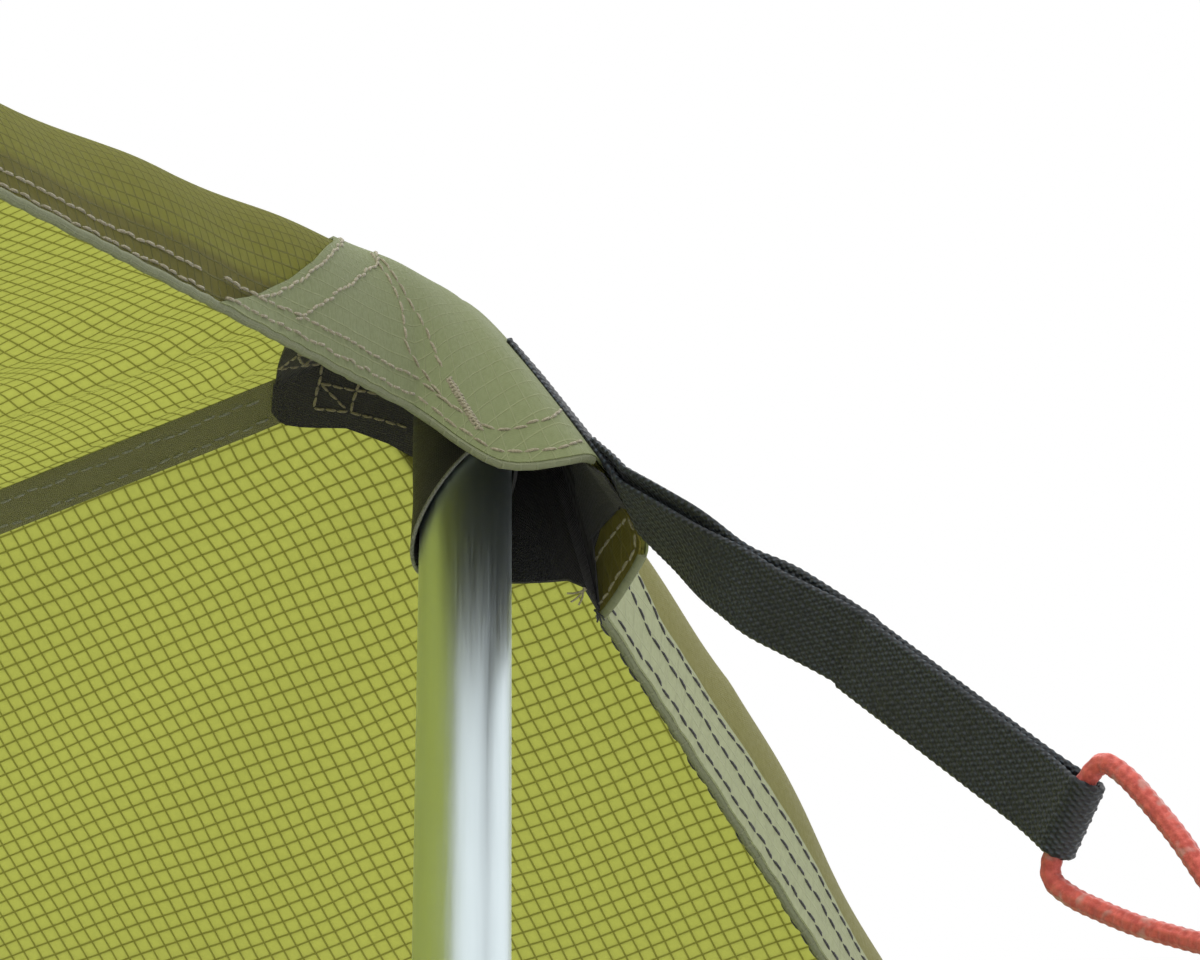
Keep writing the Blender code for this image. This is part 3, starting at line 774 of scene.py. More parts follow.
@dataclass(frozen=True)
class ClothShape:
    """Shape of the pitched cloth, on its middle surface, in metres.

    The front end is worked out in full. The rear is the same, turned half round the middle. Columns up to 0
    are distances inward from the crest, and 0 to 1 runs down the lip to its hem. Rows are distances from the
    ridge, below 0 on the near half.
    """

    pole_x: float = 1.400
    peak_z: float = 1.080
    half_width: float = 2.080
    edge_z: float = 0.0185
    ridge_sag: float = 0.012
    panel_sag: float = 0.040
    end_curve: float = 0.045
    end_curve_start: float = 0.16
    side_scallop: float = 0.045
    fold_depth: float = 0.010
    fold_reach: float = 0.50
    fold_count: int = 3
    lip_length: float = 0.046
    lip_drop: float = 0.0443
    lip_start: float = 0.0059
    lip_spread: float = 0.10
    corner_bend: float = 0.012
    tab_width: float = 0.038
    crease_depth: float = 0.0032
    crease_from: float = 0.036
    creases: tuple[tuple[float, float, float, float], ...] = (
        (0.0155, -0.10, 0.0042, 0.8), (0.036, 0.15, 0.0060, 1.0), (0.058, 0.28, 0.0085, 0.5))
    tab_rows: tuple[float, ...] = (-0.038, -0.030, -0.025, -0.018, -0.011, -0.006, 0.0,
                                   0.006, 0.011, 0.018, 0.025, 0.030, 0.038)
    tab_crest: tuple[float, ...] = (0.001, 0.0004, 0.0, -0.0014, -0.002, -0.002, -0.002,
                                    -0.002, -0.002, -0.0014, 0.0, 0.0004, 0.001)
    tab_bend: tuple[float, ...] = (0.011, 0.011, 0.011, 0.0115, 0.0072, 0.0072, 0.0072,
                                   0.0072, 0.0072, 0.0115, 0.011, 0.011, 0.011)
    tab_bend_drop: tuple[float, ...] = (0.004, 0.0047, 0.005, 0.003, 0.0004, 0.003, 0.006,
                                        0.003, 0.0004, 0.003, 0.005, 0.0047, 0.004)
    tab_hem: tuple[float, ...] = (0.0202, 0.0244, 0.0342, 0.0352, 0.0342, 0.034, 0.0346, 0.0372,
                                  0.0281, 0.0188, 0.0155)
    tab_hem_drop: tuple[float, ...] = (0.0735, 0.0756, 0.0723, 0.0662, 0.0645, 0.0653, 0.0673,
                                       0.0741, 0.0755, 0.0757, 0.0708)
    belly: float = 0.0145
    belly_from: float = 0.036
    belly_reach: float = 0.45

    @property
    def slope(self) -> float:
        """Fall of the roof for each metre from the ridge."""
        return (self.peak_z - self.edge_z) / self.half_width

    @property
    def pitch(self) -> float:
        """Length of cloth for each metre from the ridge."""
        return math.hypot(1.0, self.slope)

    def tab(self, row: np.ndarray, heights: Sequence[float]) -> np.ndarray:
        """Smoothed reading of a measure of the tab at rows of the cloth."""
        shifts = (-0.003, -0.0015, 0.0, 0.0015, 0.003)
        return sum(np.interp(row + shift, self.tab_rows, heights) for shift in shifts) / len(shifts)

    def crest_x(self, row: np.ndarray) -> np.ndarray:
        """Distance of the crest from the ridge's middle.

        Args:
            row: Distances from the ridge, below 0 on the near half.

        Returns:
            One distance a row.
        """
        reach = self.half_width - self.end_curve_start
        along = np.clip((np.abs(row) - self.end_curve_start) / reach, 0, 1)
        bow = self.end_curve * np.sin(math.pi * along) ** 2
        return self.pole_x + self.tab(row, self.tab_crest) - bow

    def lip_hem(self, row: np.ndarray) -> tuple[np.ndarray, np.ndarray]:
        """Hem of the lip as it would run without the tab, as x and z.

        Args:
            row: Distances from the ridge, below 0 on the near half.

        Returns:
            The hem's x and z, one a row.
        """
        near = np.abs(row)
        share = near / self.half_width
        crest_x = self.crest_x(row)
        steep = np.arctan2(self.lip_drop, self.lip_start + self.lip_spread * near) * (1 - share ** 2)
        length = math.hypot(self.lip_drop, self.lip_start + self.lip_spread * self.tab_width)
        length = length + (self.lip_length - length) * share
        return crest_x + length * np.cos(steep), self.roof_z(crest_x, near) - length * np.sin(steep)

    def roof_z(self, x: np.ndarray, near: np.ndarray) -> np.ndarray:
        """Height of the roof between the crests.

        Args:
            x: Distances along the ridge from its middle.
            near: Distances from the ridge, without their sign.

        Returns:
            One height a point.
        """
        share = near / self.half_width
        inside = np.maximum(1.0 - (x / self.pole_x) ** 2, 0.0)
        ridge = self.peak_z - self.ridge_sag * inside
        sag = self.panel_sag * inside * 4 * share * (1 - share)
        reach = np.hypot(self.pole_x - x, near)
        turn = np.arctan2(near, np.maximum(self.pole_x - x, 0.0))
        ripple = 0.5 * (1 - np.cos(4 * self.fold_count * turn))
        fade = reach / self.fold_reach * np.exp(1 - reach / self.fold_reach)
        fold = self.fold_depth * ripple * fade * np.sqrt(inside) * (1 - share)
        return self.edge_z + (ridge - self.edge_z) * (1 - share) - sag - fold

    def lip_ends(self, row: np.ndarray) -> tuple[np.ndarray, ...]:
        """Crest, bend and hem of the lip, as x and z of each in turn.

        Args:
            row: Distances from the ridge, below 0 on the near half.

        Returns:
            The six readings, one a row.
        """
        near = np.abs(row)
        share = near / self.half_width
        flat = 1 - share ** 2
        crest_x = self.crest_x(row)
        crest_z = self.roof_z(crest_x, near)
        bend_x = crest_x + self.tab(row, self.tab_bend) * flat + self.corner_bend * share ** 2
        bend_z = crest_z - self.tab(row, self.tab_bend_drop) * flat
        rising = np.clip((row - self.belly_from) / 0.05, 0, 1)
        blown = self.belly * rising * np.exp(-(near / self.belly_reach) ** 2)
        bend_x, bend_z = bend_x + blown, bend_z + 0.35 * blown
        hem_x, hem_z = self.lip_hem(row)
        plain_x, plain_z = self.lip_hem(np.array(self.tab_rows[1:-1]))
        out = np.concatenate([[0], self.pole_x + np.array(self.tab_hem) - plain_x, [0]])
        low = np.concatenate([[0], self.peak_z - np.array(self.tab_hem_drop) - plain_z, [0]])
        return crest_x, crest_z, bend_x, bend_z, hem_x + self.tab(row, out), hem_z + self.tab(row, low)

    def plain(self, column: np.ndarray, row: np.ndarray) -> np.ndarray:
        """Points of the smooth cloth at the front end.

        Args:
            column: Columns, as the class says.
            row: Distances from the ridge, below 0 on the near half.

        Returns:
            One point a line.
        """
        near = np.abs(row)
        crest_x, crest_z, bend_x, bend_z, hem_x, hem_z = self.lip_ends(row)
        roof_x = crest_x * (1 + np.minimum(column, 0) / self.pole_x)
        down = np.clip(column, 0, None)
        rest = 1 - down
        lip_x = rest ** 2 * crest_x + 2 * rest * down * bend_x + down ** 2 * hem_x
        lip_z = rest ** 2 * crest_z + 2 * rest * down * bend_z + down ** 2 * hem_z
        on_lip = column > 0
        x = np.where(on_lip, lip_x, roof_x)
        z = np.where(on_lip, lip_z, self.roof_z(roof_x, near))
        along = np.minimum(x / crest_x, 1.0)
        tuck = self.side_scallop * 4 * along * (1 - along) * (near / self.half_width) ** 3
        return np.column_stack([x, np.where(row < 0, -1.0, 1.0) * (near - tuck), z])

    def relief(self, column: np.ndarray, row: np.ndarray) -> np.ndarray:
        """Height of the small creases and puckers above the smooth cloth, outward.

        Args:
            column: Columns, as the class says.
            row: Distances from the ridge, below 0 on the near half.

        Returns:
            One height a point.
        """
        near = np.abs(row)
        inward = np.maximum(-column, 0)
        down = np.clip(column, 0, 1)
        sewn = np.exp(-((near - 0.06) / 0.22) ** 2)
        billow = 0.0007 * np.sin(near / 0.0085 + 1.4 * np.sign(row)) * 4 * down * (1 - down)
        pucker = 0.00016 * np.sin(2 * math.pi * near / 0.0086 + 1.5 * np.sin(near / 0.005)) * down ** 5
        lip = (billow + pucker) * np.clip((near - 0.02) / 0.03, 0, 1) * (0.35 + 0.65 * sewn)
        start = np.clip((inward - 0.030) / 0.022, 0, 1)
        ends = np.exp(-np.maximum(inward - 0.10, 0) / 0.10)
        drift = inward - self.crease_from
        folds = sum(weight * np.exp(-((near - (at + lean * drift)) / width) ** 2)
                    for at, lean, width, weight in self.creases)
        creases = self.crease_depth * start * ends * folds
        return lip - creases * np.where(row < 0, 1.0, 0.12) * (near > 0.002)

    def layer(self, column: np.ndarray, row: np.ndarray, offset: float | np.ndarray) -> np.ndarray:
        """Points at a height above the creased cloth at the front end.

        Args:
            column: Columns, as the class says.
            row: Distances from the ridge.
            offset: Height above the cloth's middle, outward.

        Returns:
            One point a line.
        """
        column, row = np.broadcast_arrays(np.asarray(column, float), np.asarray(row, float))
        step = 0.0006
        side = np.where(row < 0, -1.0, 1.0)
        off_ridge = np.where(np.abs(row) < step, side * step, row)
        across = self.plain(column, off_ridge + 0.5 * step) - self.plain(column, off_ridge - 0.5 * step)
        inner = np.where(column <= 0, column - step, column)
        outer = np.where(column <= 0, column, column + step)
        along = self.plain(outer, row) - self.plain(inner, row)
        normal = np.cross(along, across)
        normal /= np.linalg.norm(normal, axis=1)[:, None]
        height = offset + self.relief(column, row)
        return self.plain(column, row) + height[:, None] * normal

    def whole(self, station: np.ndarray, row: np.ndarray, offset: float) -> np.ndarray:
        """Points across both ends, by signed distance along the cloth from its middle.

        Args:
            station: Distance along the ridge and down the lip, below 0 at the rear.
            row: Distances from the ridge.
            offset: Height above the cloth's middle, outward.

        Returns:
            One point a line.
        """
        reach = np.abs(station) - self.pole_x
        column = np.where(reach <= 0, reach, reach / self.lip_length)
        end = np.where(station < 0, -1.0, 1.0)
        point = self.layer(column, row * end, offset)
        return point * np.column_stack([end, end, np.ones_like(end)])

    def flat(self, column: np.ndarray, row: np.ndarray) -> np.ndarray:
        """Places on the flat cloth, in metres, for the ripstop's cells.

        Args:
            column: Columns, as the class says.
            row: Distances from the ridge, below 0 on the near half.

        Returns:
            Two coordinates a point.
        """
        crest_x, crest_z, _, _, hem_x, hem_z = self.lip_ends(row)
        lip = np.hypot(hem_x - crest_x, hem_z - crest_z) * 1.02
        return np.column_stack([self.pole_x + np.where(column <= 0, column, column * lip), row * self.pitch])

    def whole_flat(self, station: np.ndarray, row: np.ndarray) -> np.ndarray:
        """Places on the flat cloth for points across both ends.

        Args:
            station: Signed distances along the cloth from its middle.
            row: Distances from the ridge, below 0 on the near half.

        Returns:
            Two coordinates a point.
        """
        reach = np.abs(station) - self.pole_x
        column = np.where(reach <= 0, reach, reach / self.lip_length)
        end = np.where(station < 0, -1.0, 1.0)
        return self.flat(column, row) * np.column_stack([end, np.ones_like(end)])


def growing(start: float, stop: float, first: float, growth: float) -> list[float]:
    """Readings whose spacing grows from one to the next.

    Args:
        start: First reading.
        stop: Last reading.
        first: First spacing.
        growth: Share by which each spacing is wider than the last.

    Returns:
        The readings, both ends among them.
    """
    readings, step = [start], first
    while readings[-1] + 1.4 * step < stop:
        readings.append(readings[-1] + step)
        step *= 1 + growth
    return readings + [stop]


@dataclass
class Stitching:
    """Rows of lockstitch laid on the cloth, from one stitch that is copied."""

    shape: ClothShape
    pitch: float = 0.0036
    length: float = 0.0033
    radius: float = 0.00033
    seed: int = 7

    def __post_init__(self) -> None:
        """Models the one stitch and starts the seeded draws."""
        self.draw = random.Random(self.seed)
        Workshop.deselect()
        bpy.ops.mesh.primitive_cylinder_add(vertices=6, radius=self.radius, depth=1.0, end_fill_type="NGON",
                                            rotation=(0, math.pi / 2, 0))
        stitch = bpy.context.active_object
        bpy.ops.object.transform_apply(location=False, rotation=True, scale=False)
        bpy.ops.object.mode_set(mode="EDIT")
        bpy.ops.mesh.select_all(action="SELECT")
        bpy.ops.mesh.bisect(plane_co=(0.26, 0, 0), plane_no=(1, 0, 0))
        bpy.ops.mesh.select_all(action="SELECT")
        bpy.ops.mesh.bisect(plane_co=(-0.26, 0, 0), plane_no=(1, 0, 0))
        bpy.ops.object.mode_set(mode="OBJECT")
        mesh = stitch.data
        points = np.array([vertex.co for vertex in mesh.vertices])
        ends = np.abs(points[:, 0]) > 0.4
        points[ends, 1:] *= 0.55
        self.template = points
        self.faces = [tuple(face.vertices) for face in mesh.polygons]
        bpy.data.objects.remove(stitch, do_unlink=True)

    def surface(self, columns: np.ndarray, rows: np.ndarray, offset: float) -> tuple[np.ndarray, np.ndarray]:
        """Points of the sewn surface, and points 1 mm above it on the side that is sewn."""
        further = offset + (0.001 if offset > 0 else -0.001)
        return self.shape.layer(columns, rows, offset), self.shape.layer(columns, rows, further)

    def row(self, path: Path, offset: float, pitch: float | None = None,
            wander: float = 0.0003) -> list[Stitch]:
        """Places stitches along a path of columns and rows on the cloth.

        Args:
            path: Corners of the path, as column and distance from the ridge.
            offset: Height of the surface that is sewn, outward.
            pitch: Spacing of the stitches, or the usual one.
            wander: Most that a stitch strays from the row.

        Returns:
            Middle, direction, normal and length of each stitch.
        """
        pitch = pitch or self.pitch
        fine = np.concatenate([np.linspace(first, second, 60, endpoint=False)
                               for first, second in zip(path, path[1:])] + [np.array([path[-1]])])
        points, above = self.surface(fine[:, 0], fine[:, 1], offset)
        walked = walk(points)
        placed = []
        count = int(walked[-1] / pitch)
        for index in range(count):
            spots = (index + np.array([0.5 - 0.42, 0.5, 0.5 + 0.42])) * pitch
            a, b, c = (np.array([np.interp(spot, walked, points[:, axis]) for axis in range(3)])
                       for spot in spots)
            top = np.array([np.interp(spots[1], walked, above[:, axis]) for axis in range(3)])
            normal = (top - b) / np.linalg.norm(top - b)
            way = (c - a) / np.linalg.norm(c - a)
            side = np.cross(normal, way)
            sway = self.draw.uniform(-wander, wander)
            tilt = self.draw.uniform(-0.12, 0.12)
            way = way * math.cos(tilt) + side * math.sin(tilt)
            placed.append((b + side * sway, way, normal, self.length / self.pitch * pitch))
        return placed

    def tack(self, start: tuple[float, float], end: tuple[float, float], offset: float, width: float,
             count: int) -> list[Stitch]:
        """Close zigzag of a bar-tack between two points on the cloth.

        Args:
            start: First point, as column and distance from the ridge.
            end: Last point.
            offset: Height of the surface that is sewn.
            width: Width of the zigzag.
            count: Number of stitches.

        Returns:
            Middle, direction, normal and length of each stitch.
        """
        shares = (np.arange(count) + 0.5) / count
        columns = start[0] + (end[0] - start[0]) * shares
        rows = start[1] + (end[1] - start[1]) * shares
        points, above = self.surface(columns, rows, offset)
        along = np.gradient(points, axis=0)
        placed = []
        for index in range(count):
            normal = (above[index] - points[index]) / np.linalg.norm(above[index] - points[index])
            way = along[index] / np.linalg.norm(along[index])
            side = np.cross(normal, way)
            lean = 0.5 * (1 if index % 2 else -1) + self.draw.uniform(-0.15, 0.15)
            cross = side * math.cos(lean) + way * math.sin(lean)
            placed.append((points[index], cross, normal, width * self.draw.uniform(0.85, 1.15)))
        return placed

    def sew(self, name: str, stitches: list[Stitch],
            end: End = End.FRONT) -> Piece:
        """Copies the one stitch to every place, in one mesh.

        Args:
            name: Name of the piece.
            stitches: Middle, direction, normal and length of each stitch.
            end: End of the ridge that the stitches lie at.

        Returns:
            The thread, as one mesh.
        """
        size = len(self.template)
        points = np.empty((size * len(stitches), 3))
        faces = []
        for count, (middle, way, normal, length) in enumerate(stitches):
            side = np.cross(normal, way)
            height = 0.00012 - 0.0011 * self.template[:, 0] ** 2
            points[count * size:(count + 1) * size] = (
                middle + self.template[:, :1] * length * way + self.template[:, 1:2] * side
                + (self.template[:, 2:3] + height[:, None]) * normal)
            faces += [tuple(corner + count * size for corner in face) for face in self.faces]
        mesh = bpy.data.meshes.new(name)
        mesh.from_pydata(points.tolist(), [], faces)
        mesh.update()
        piece = bpy.data.objects.new(name, mesh)
        bpy.context.scene.collection.objects.link(piece)
        Workshop.choose(piece)
        bpy.ops.object.mode_set(mode="EDIT")
        bpy.ops.mesh.select_all(action="SELECT")
        bpy.ops.mesh.normals_make_consistent(inside=False)
        bpy.ops.object.mode_set(mode="OBJECT")
        Workshop.smooth(piece, SOFT_EDGE)
        Workshop.turn_to(piece, end)
        return piece


@dataclass
class Canopy:
    """The two cloth halves, their folded hems and the ridge's seam band."""

    shape: ClothShape
    palette: Palette
    wall: float = 0.0005
    hem_wall: float = 0.0004
    hem_height: float = 0.0007
    fold_height: float = -0.00005
    fold_radius: float = 0.00095
    fine_row: float = 0.0022
    fine_reach: float = 0.28
    band_from: float = 0.0001
    band_width: float = 0.0083
    band_reach: float = 0.044

    def __post_init__(self) -> None:
        """Works out where the cloth's rows and stations lie."""
        shape = self.shape
        inward = growing(0.0, shape.pole_x, 0.0045, 0.035)
        lip = [shape.lip_length * share for share in np.linspace(0, 1, 15)[1:]]
        outward = [shape.pole_x - reading for reading in reversed(inward)] + [shape.pole_x + r for r in lip]
        self.stations = [-reading for reading in reversed(outward[1:])] + outward
        fine = [0.00003] + list(np.arange(self.fine_row, self.fine_reach, self.fine_row))
        self.rows = fine + growing(fine[-1] + self.fine_row, shape.half_width, 0.004, 0.07)

    def half(self, side: Side) -> Piece:
        """Models one half of the cloth.

        Args:
            side: Half of the cloth.

        Returns:
            The half.
        """
        piece = Workshop.grid(f"{side.word}_half", self.stations, mirrored(self.rows, side.value),
                              lambda station, row: self.shape.whole(station, row, 0.0),
                              self.shape.whole_flat)
        Workshop.wall(piece, self.wall)
        name = f"{side.word}_canopy"
        Workshop.dress(piece, self.palette.ripstop, "ripstop", Body.TARP.value, name)
        return piece

    def end_hem(self, side: Side, end: End) -> Piece:
        """Models the folded hem on the inside of one end of one half.

        Args:
            side: Half of the cloth.
            end: End of the ridge.

        Returns:
            The fold, still without its finish.
        """
        rows = mirrored([row for row in self.rows if row > 0.001], side.value * end.value)
        piece = Workshop.grid("hem", [0.79, 0.80, 0.85, 0.90, 0.95, 0.985, 1.0], rows,
                              lambda column, row: self.shape.layer(column, row, -self.hem_height),
                              self.shape.flat)
        Workshop.wall(piece, self.hem_wall)
        Workshop.turn_to(piece, end)
        return piece

    def side_hem(self, side: Side) -> Piece:
        """Models the folded hem on the inside of one side edge.

        Args:
            side: Half of the cloth.

        Returns:
            The fold, still without its finish.
        """
        low, high = self.shape.half_width - 0.014, self.shape.half_width
        rows = mirrored([low, low + 0.0005, low + 0.007, high], side.value)
        reach = self.shape.pole_x + 0.77 * self.shape.lip_length
        stations = list(np.linspace(-reach, reach, 160))
        piece = Workshop.grid("side_hem", stations, rows,
                              lambda station, row: self.shape.whole(station, row, -self.hem_height),
                              self.shape.whole_flat)
        return Workshop.wall(piece, self.hem_wall)

    def fold(self, side: Side, end: End) -> Piece:
        """Models the rounded fold along one end hem's edge.

        Args:
            side: Half of the cloth.
            end: End of the ridge.

        Returns:
            The dressed fold.
        """
        way = side.value * end.value
        start = 0.0085 if way < 0 else 0.0125
        rows = [row for row in self.rows if row > start]
        path = self.shape.layer(np.ones(len(rows)), way * np.array(rows), self.fold_height)
        piece = Workshop.tube(f"{side.word}_{end.word}_hem_fold", path,
                              even_round(self.fold_radius), 8)
        Workshop.turn_to(piece, end)
        return Workshop.dress(piece, self.palette.fold, "ripstop", Body.TARP.value)

    def hems(self, side: Side) -> Piece:
        """Joins one half's folded hems into one piece.

        Args:
            side: Half of the cloth.

        Returns:
            The dressed hems.
        """
        parts = [self.end_hem(side, End.FRONT), self.end_hem(side, End.REAR), self.side_hem(side)]
        piece = Workshop.join(f"{side.word}_hems", parts)
        return Workshop.dress(piece, self.palette.hem, "ripstop", Body.TARP.value)

    def band(self) -> Piece:
        """Models the felled seam band on the inside of the far half.

        Returns:
            The dressed band.
        """
        reach = self.shape.pole_x - self.band_reach
        stations = list(np.arange(-reach, reach, 0.006)) + [reach]
        low, high = self.band_from, self.band_from + self.band_width
        rows = list(np.linspace(low, high, 9))

        def place(station: np.ndarray, row: np.ndarray) -> np.ndarray:
            """Point on the band, which swells between its two rows of stitches.

            Args:
                station: Signed distances along the cloth from its middle.
                row: Distances from the ridge.

            Returns:
                One point a corner.
            """
            share = (row - low) / (high - low)
            swell = 0.0003 * np.abs(np.sin(3 * math.pi * share)) * (0.8 + 0.2 * np.sin(station / 0.0031))
            under = self.shape.whole(station, row, -self.hem_height)
            down = self.shape.whole(station, row, -self.hem_height - 0.001) - under
            covered = np.clip((np.abs(station) - self.shape.pole_x + 0.053) / 0.004, 0, 1)
            return under + down / 0.001 * (swell * (1 - covered) - 0.00045 * covered)[:, None]

        piece = Workshop.grid("ridge_seam_band", stations, rows, place, self.shape.whole_flat)
        Workshop.wall(piece, self.hem_wall)
        return Workshop.dress(piece, self.palette.band, "seam_tape", Body.TARP.value, "ridge_seam_tape")

    def build(self) -> None:
        """Models all the cloth of the canopy."""
        for side in Side:
            self.half(side)
            self.hems(side)
            for end in End:
                self.fold(side, end)
        self.band()


@dataclass
class SewnThread:
    """Stitches along the hems and the ridge's seam band."""

    shape: ClothShape
    palette: Palette
    stitching: Stitching
    surface: float = THREAD_LIFT
    inner: float = -0.00095
    detailed: float = 0.45
    far_pitch: float = 0.0060

    def hem_rows(self, side: Side, end: End) -> Piece:
        """Sews the two rows along one end hem, outside, with the tab's turn.

        Args:
            side: Half of the cloth.
            end: End of the ridge.

        Returns:
            The dressed thread.
        """
        way = side.value * end.value
        stitches = []
        for column in (0.90, 0.97):
            first = (0.124, 0.15) if side is Side.NEAR else (0.168,)
            path = [(column, way * row) for row in first + (0.18, 0.26, self.detailed)]
            stitches += self.stitching.row(path, self.surface)
            far = (self.detailed, 0.8, 1.2, 1.6, self.shape.half_width - 0.01)
            stitches += self.stitching.row([(column, way * row) for row in far], self.surface,
                                           self.far_pitch)
        piece = self.stitching.sew(f"{side.word}_{end.word}_hem_stitches", stitches, end)
        thread = self.palette.thread if side is Side.NEAR else self.palette.dark_thread
        return Workshop.dress(piece, thread, "ripstop", Body.TARP.value)

    def band_rows(self, end: End) -> Piece:
        """Sews the two rows of the seam band's inside, over half its length.

        Args:
            end: End of the ridge.

        Returns:
            The dressed thread.
        """
        way = end.value
        stitches = []
        for row in (0.0026, 0.0070):
            stitches += self.stitching.row([(-0.052, way * row), (-0.5, way * row)], self.inner, None, 0.0004)
            stitches += self.stitching.row([(-0.5, way * row), (-1.39, way * row)], self.inner,
                                           self.far_pitch)
        piece = self.stitching.sew(f"{end.word}_band_stitches", stitches, end)
        return Workshop.dress(piece, self.palette.grey_thread, "seam_tape", Body.TARP.value)

    def build(self) -> None:
        """Sews every hem and the band."""
        for end in End:
            for side in Side:
                self.hem_rows(side, end)
            self.band_rows(end)


@dataclass(frozen=True)
class PeakSeams:
    """Paths of the seams at the peak, as columns and distances from the ridge."""

    hood: tuple[Table, ...] = (
        ((-0.028, -0.050), (0.0, -0.053), (0.31, -0.062), (0.59, -0.076), (0.75, -0.087), (0.88, -0.100),
         (0.92, -0.107)),
        ((-0.028, -0.038), (0.0, -0.040), (0.35, -0.049), (0.60, -0.063), (0.78, -0.077), (0.88, -0.086),
         (0.92, -0.091)),
        ((0.20, -0.048), (0.35, -0.0485), (0.59, -0.045), (0.80, -0.044), (0.89, -0.037), (0.93, -0.033)),
        ((0.25, -0.046), (0.42, -0.044), (0.57, -0.041), (0.68, -0.037), (0.78, -0.035), (0.83, -0.033)),
        ((0.90, -0.117), (0.90, -0.057), (0.915, -0.037), (0.92, -0.031), (0.92, -0.027), (0.91, -0.023),
         (0.89, -0.016), (0.86, -0.008)),
        ((0.97, -0.118), (0.97, -0.06), (0.975, -0.030), (0.975, -0.018), (0.965, -0.009)))
    tack: Table = ((0.83, -0.033), (0.94, -0.029))
    strip: tuple[Table, ...] = (
        ((0.55, 0.036), (0.66, 0.046), (0.71, 0.050), (0.79, 0.056), (0.81, 0.08), (0.815, STRIP_END)),
        ((0.74, 0.038), (0.82, 0.047), (0.87, 0.053), (0.89, 0.08), (0.895, STRIP_END)),
        ((0.97, 0.032), (0.97, 0.06), (0.97, STRIP_END)))
    strip_fold: Table = ((1.0, 0.036), (1.0, 0.06), (1.0, STRIP_END))
    box: tuple[Table, ...] = (
        ((-0.0345, 0.0008), (-0.0412, 0.0080)), ((-0.0340, 0.0113), (-0.0280, 0.0060)),
        ((-0.0412, 0.0080), (-0.0340, 0.0113)), ((-0.0370, 0.0040), (-0.0340, 0.0113)),
        ((-0.0370, 0.0040), (-0.0255, 0.0105)), ((-0.0340, 0.0113), (-0.0230, 0.0200)))
    tab_hem: tuple[Table, ...] = (
        ((0.955, 0.0098), (0.92, 0.014), (0.905, 0.0175), (0.89, 0.0212), (0.88, 0.0255), (0.875, 0.034)),
        ((0.985, 0.0075), (0.985, 0.0148), (0.98, 0.018), (0.98, 0.0215), (0.98, 0.025), (0.98, 0.036)))


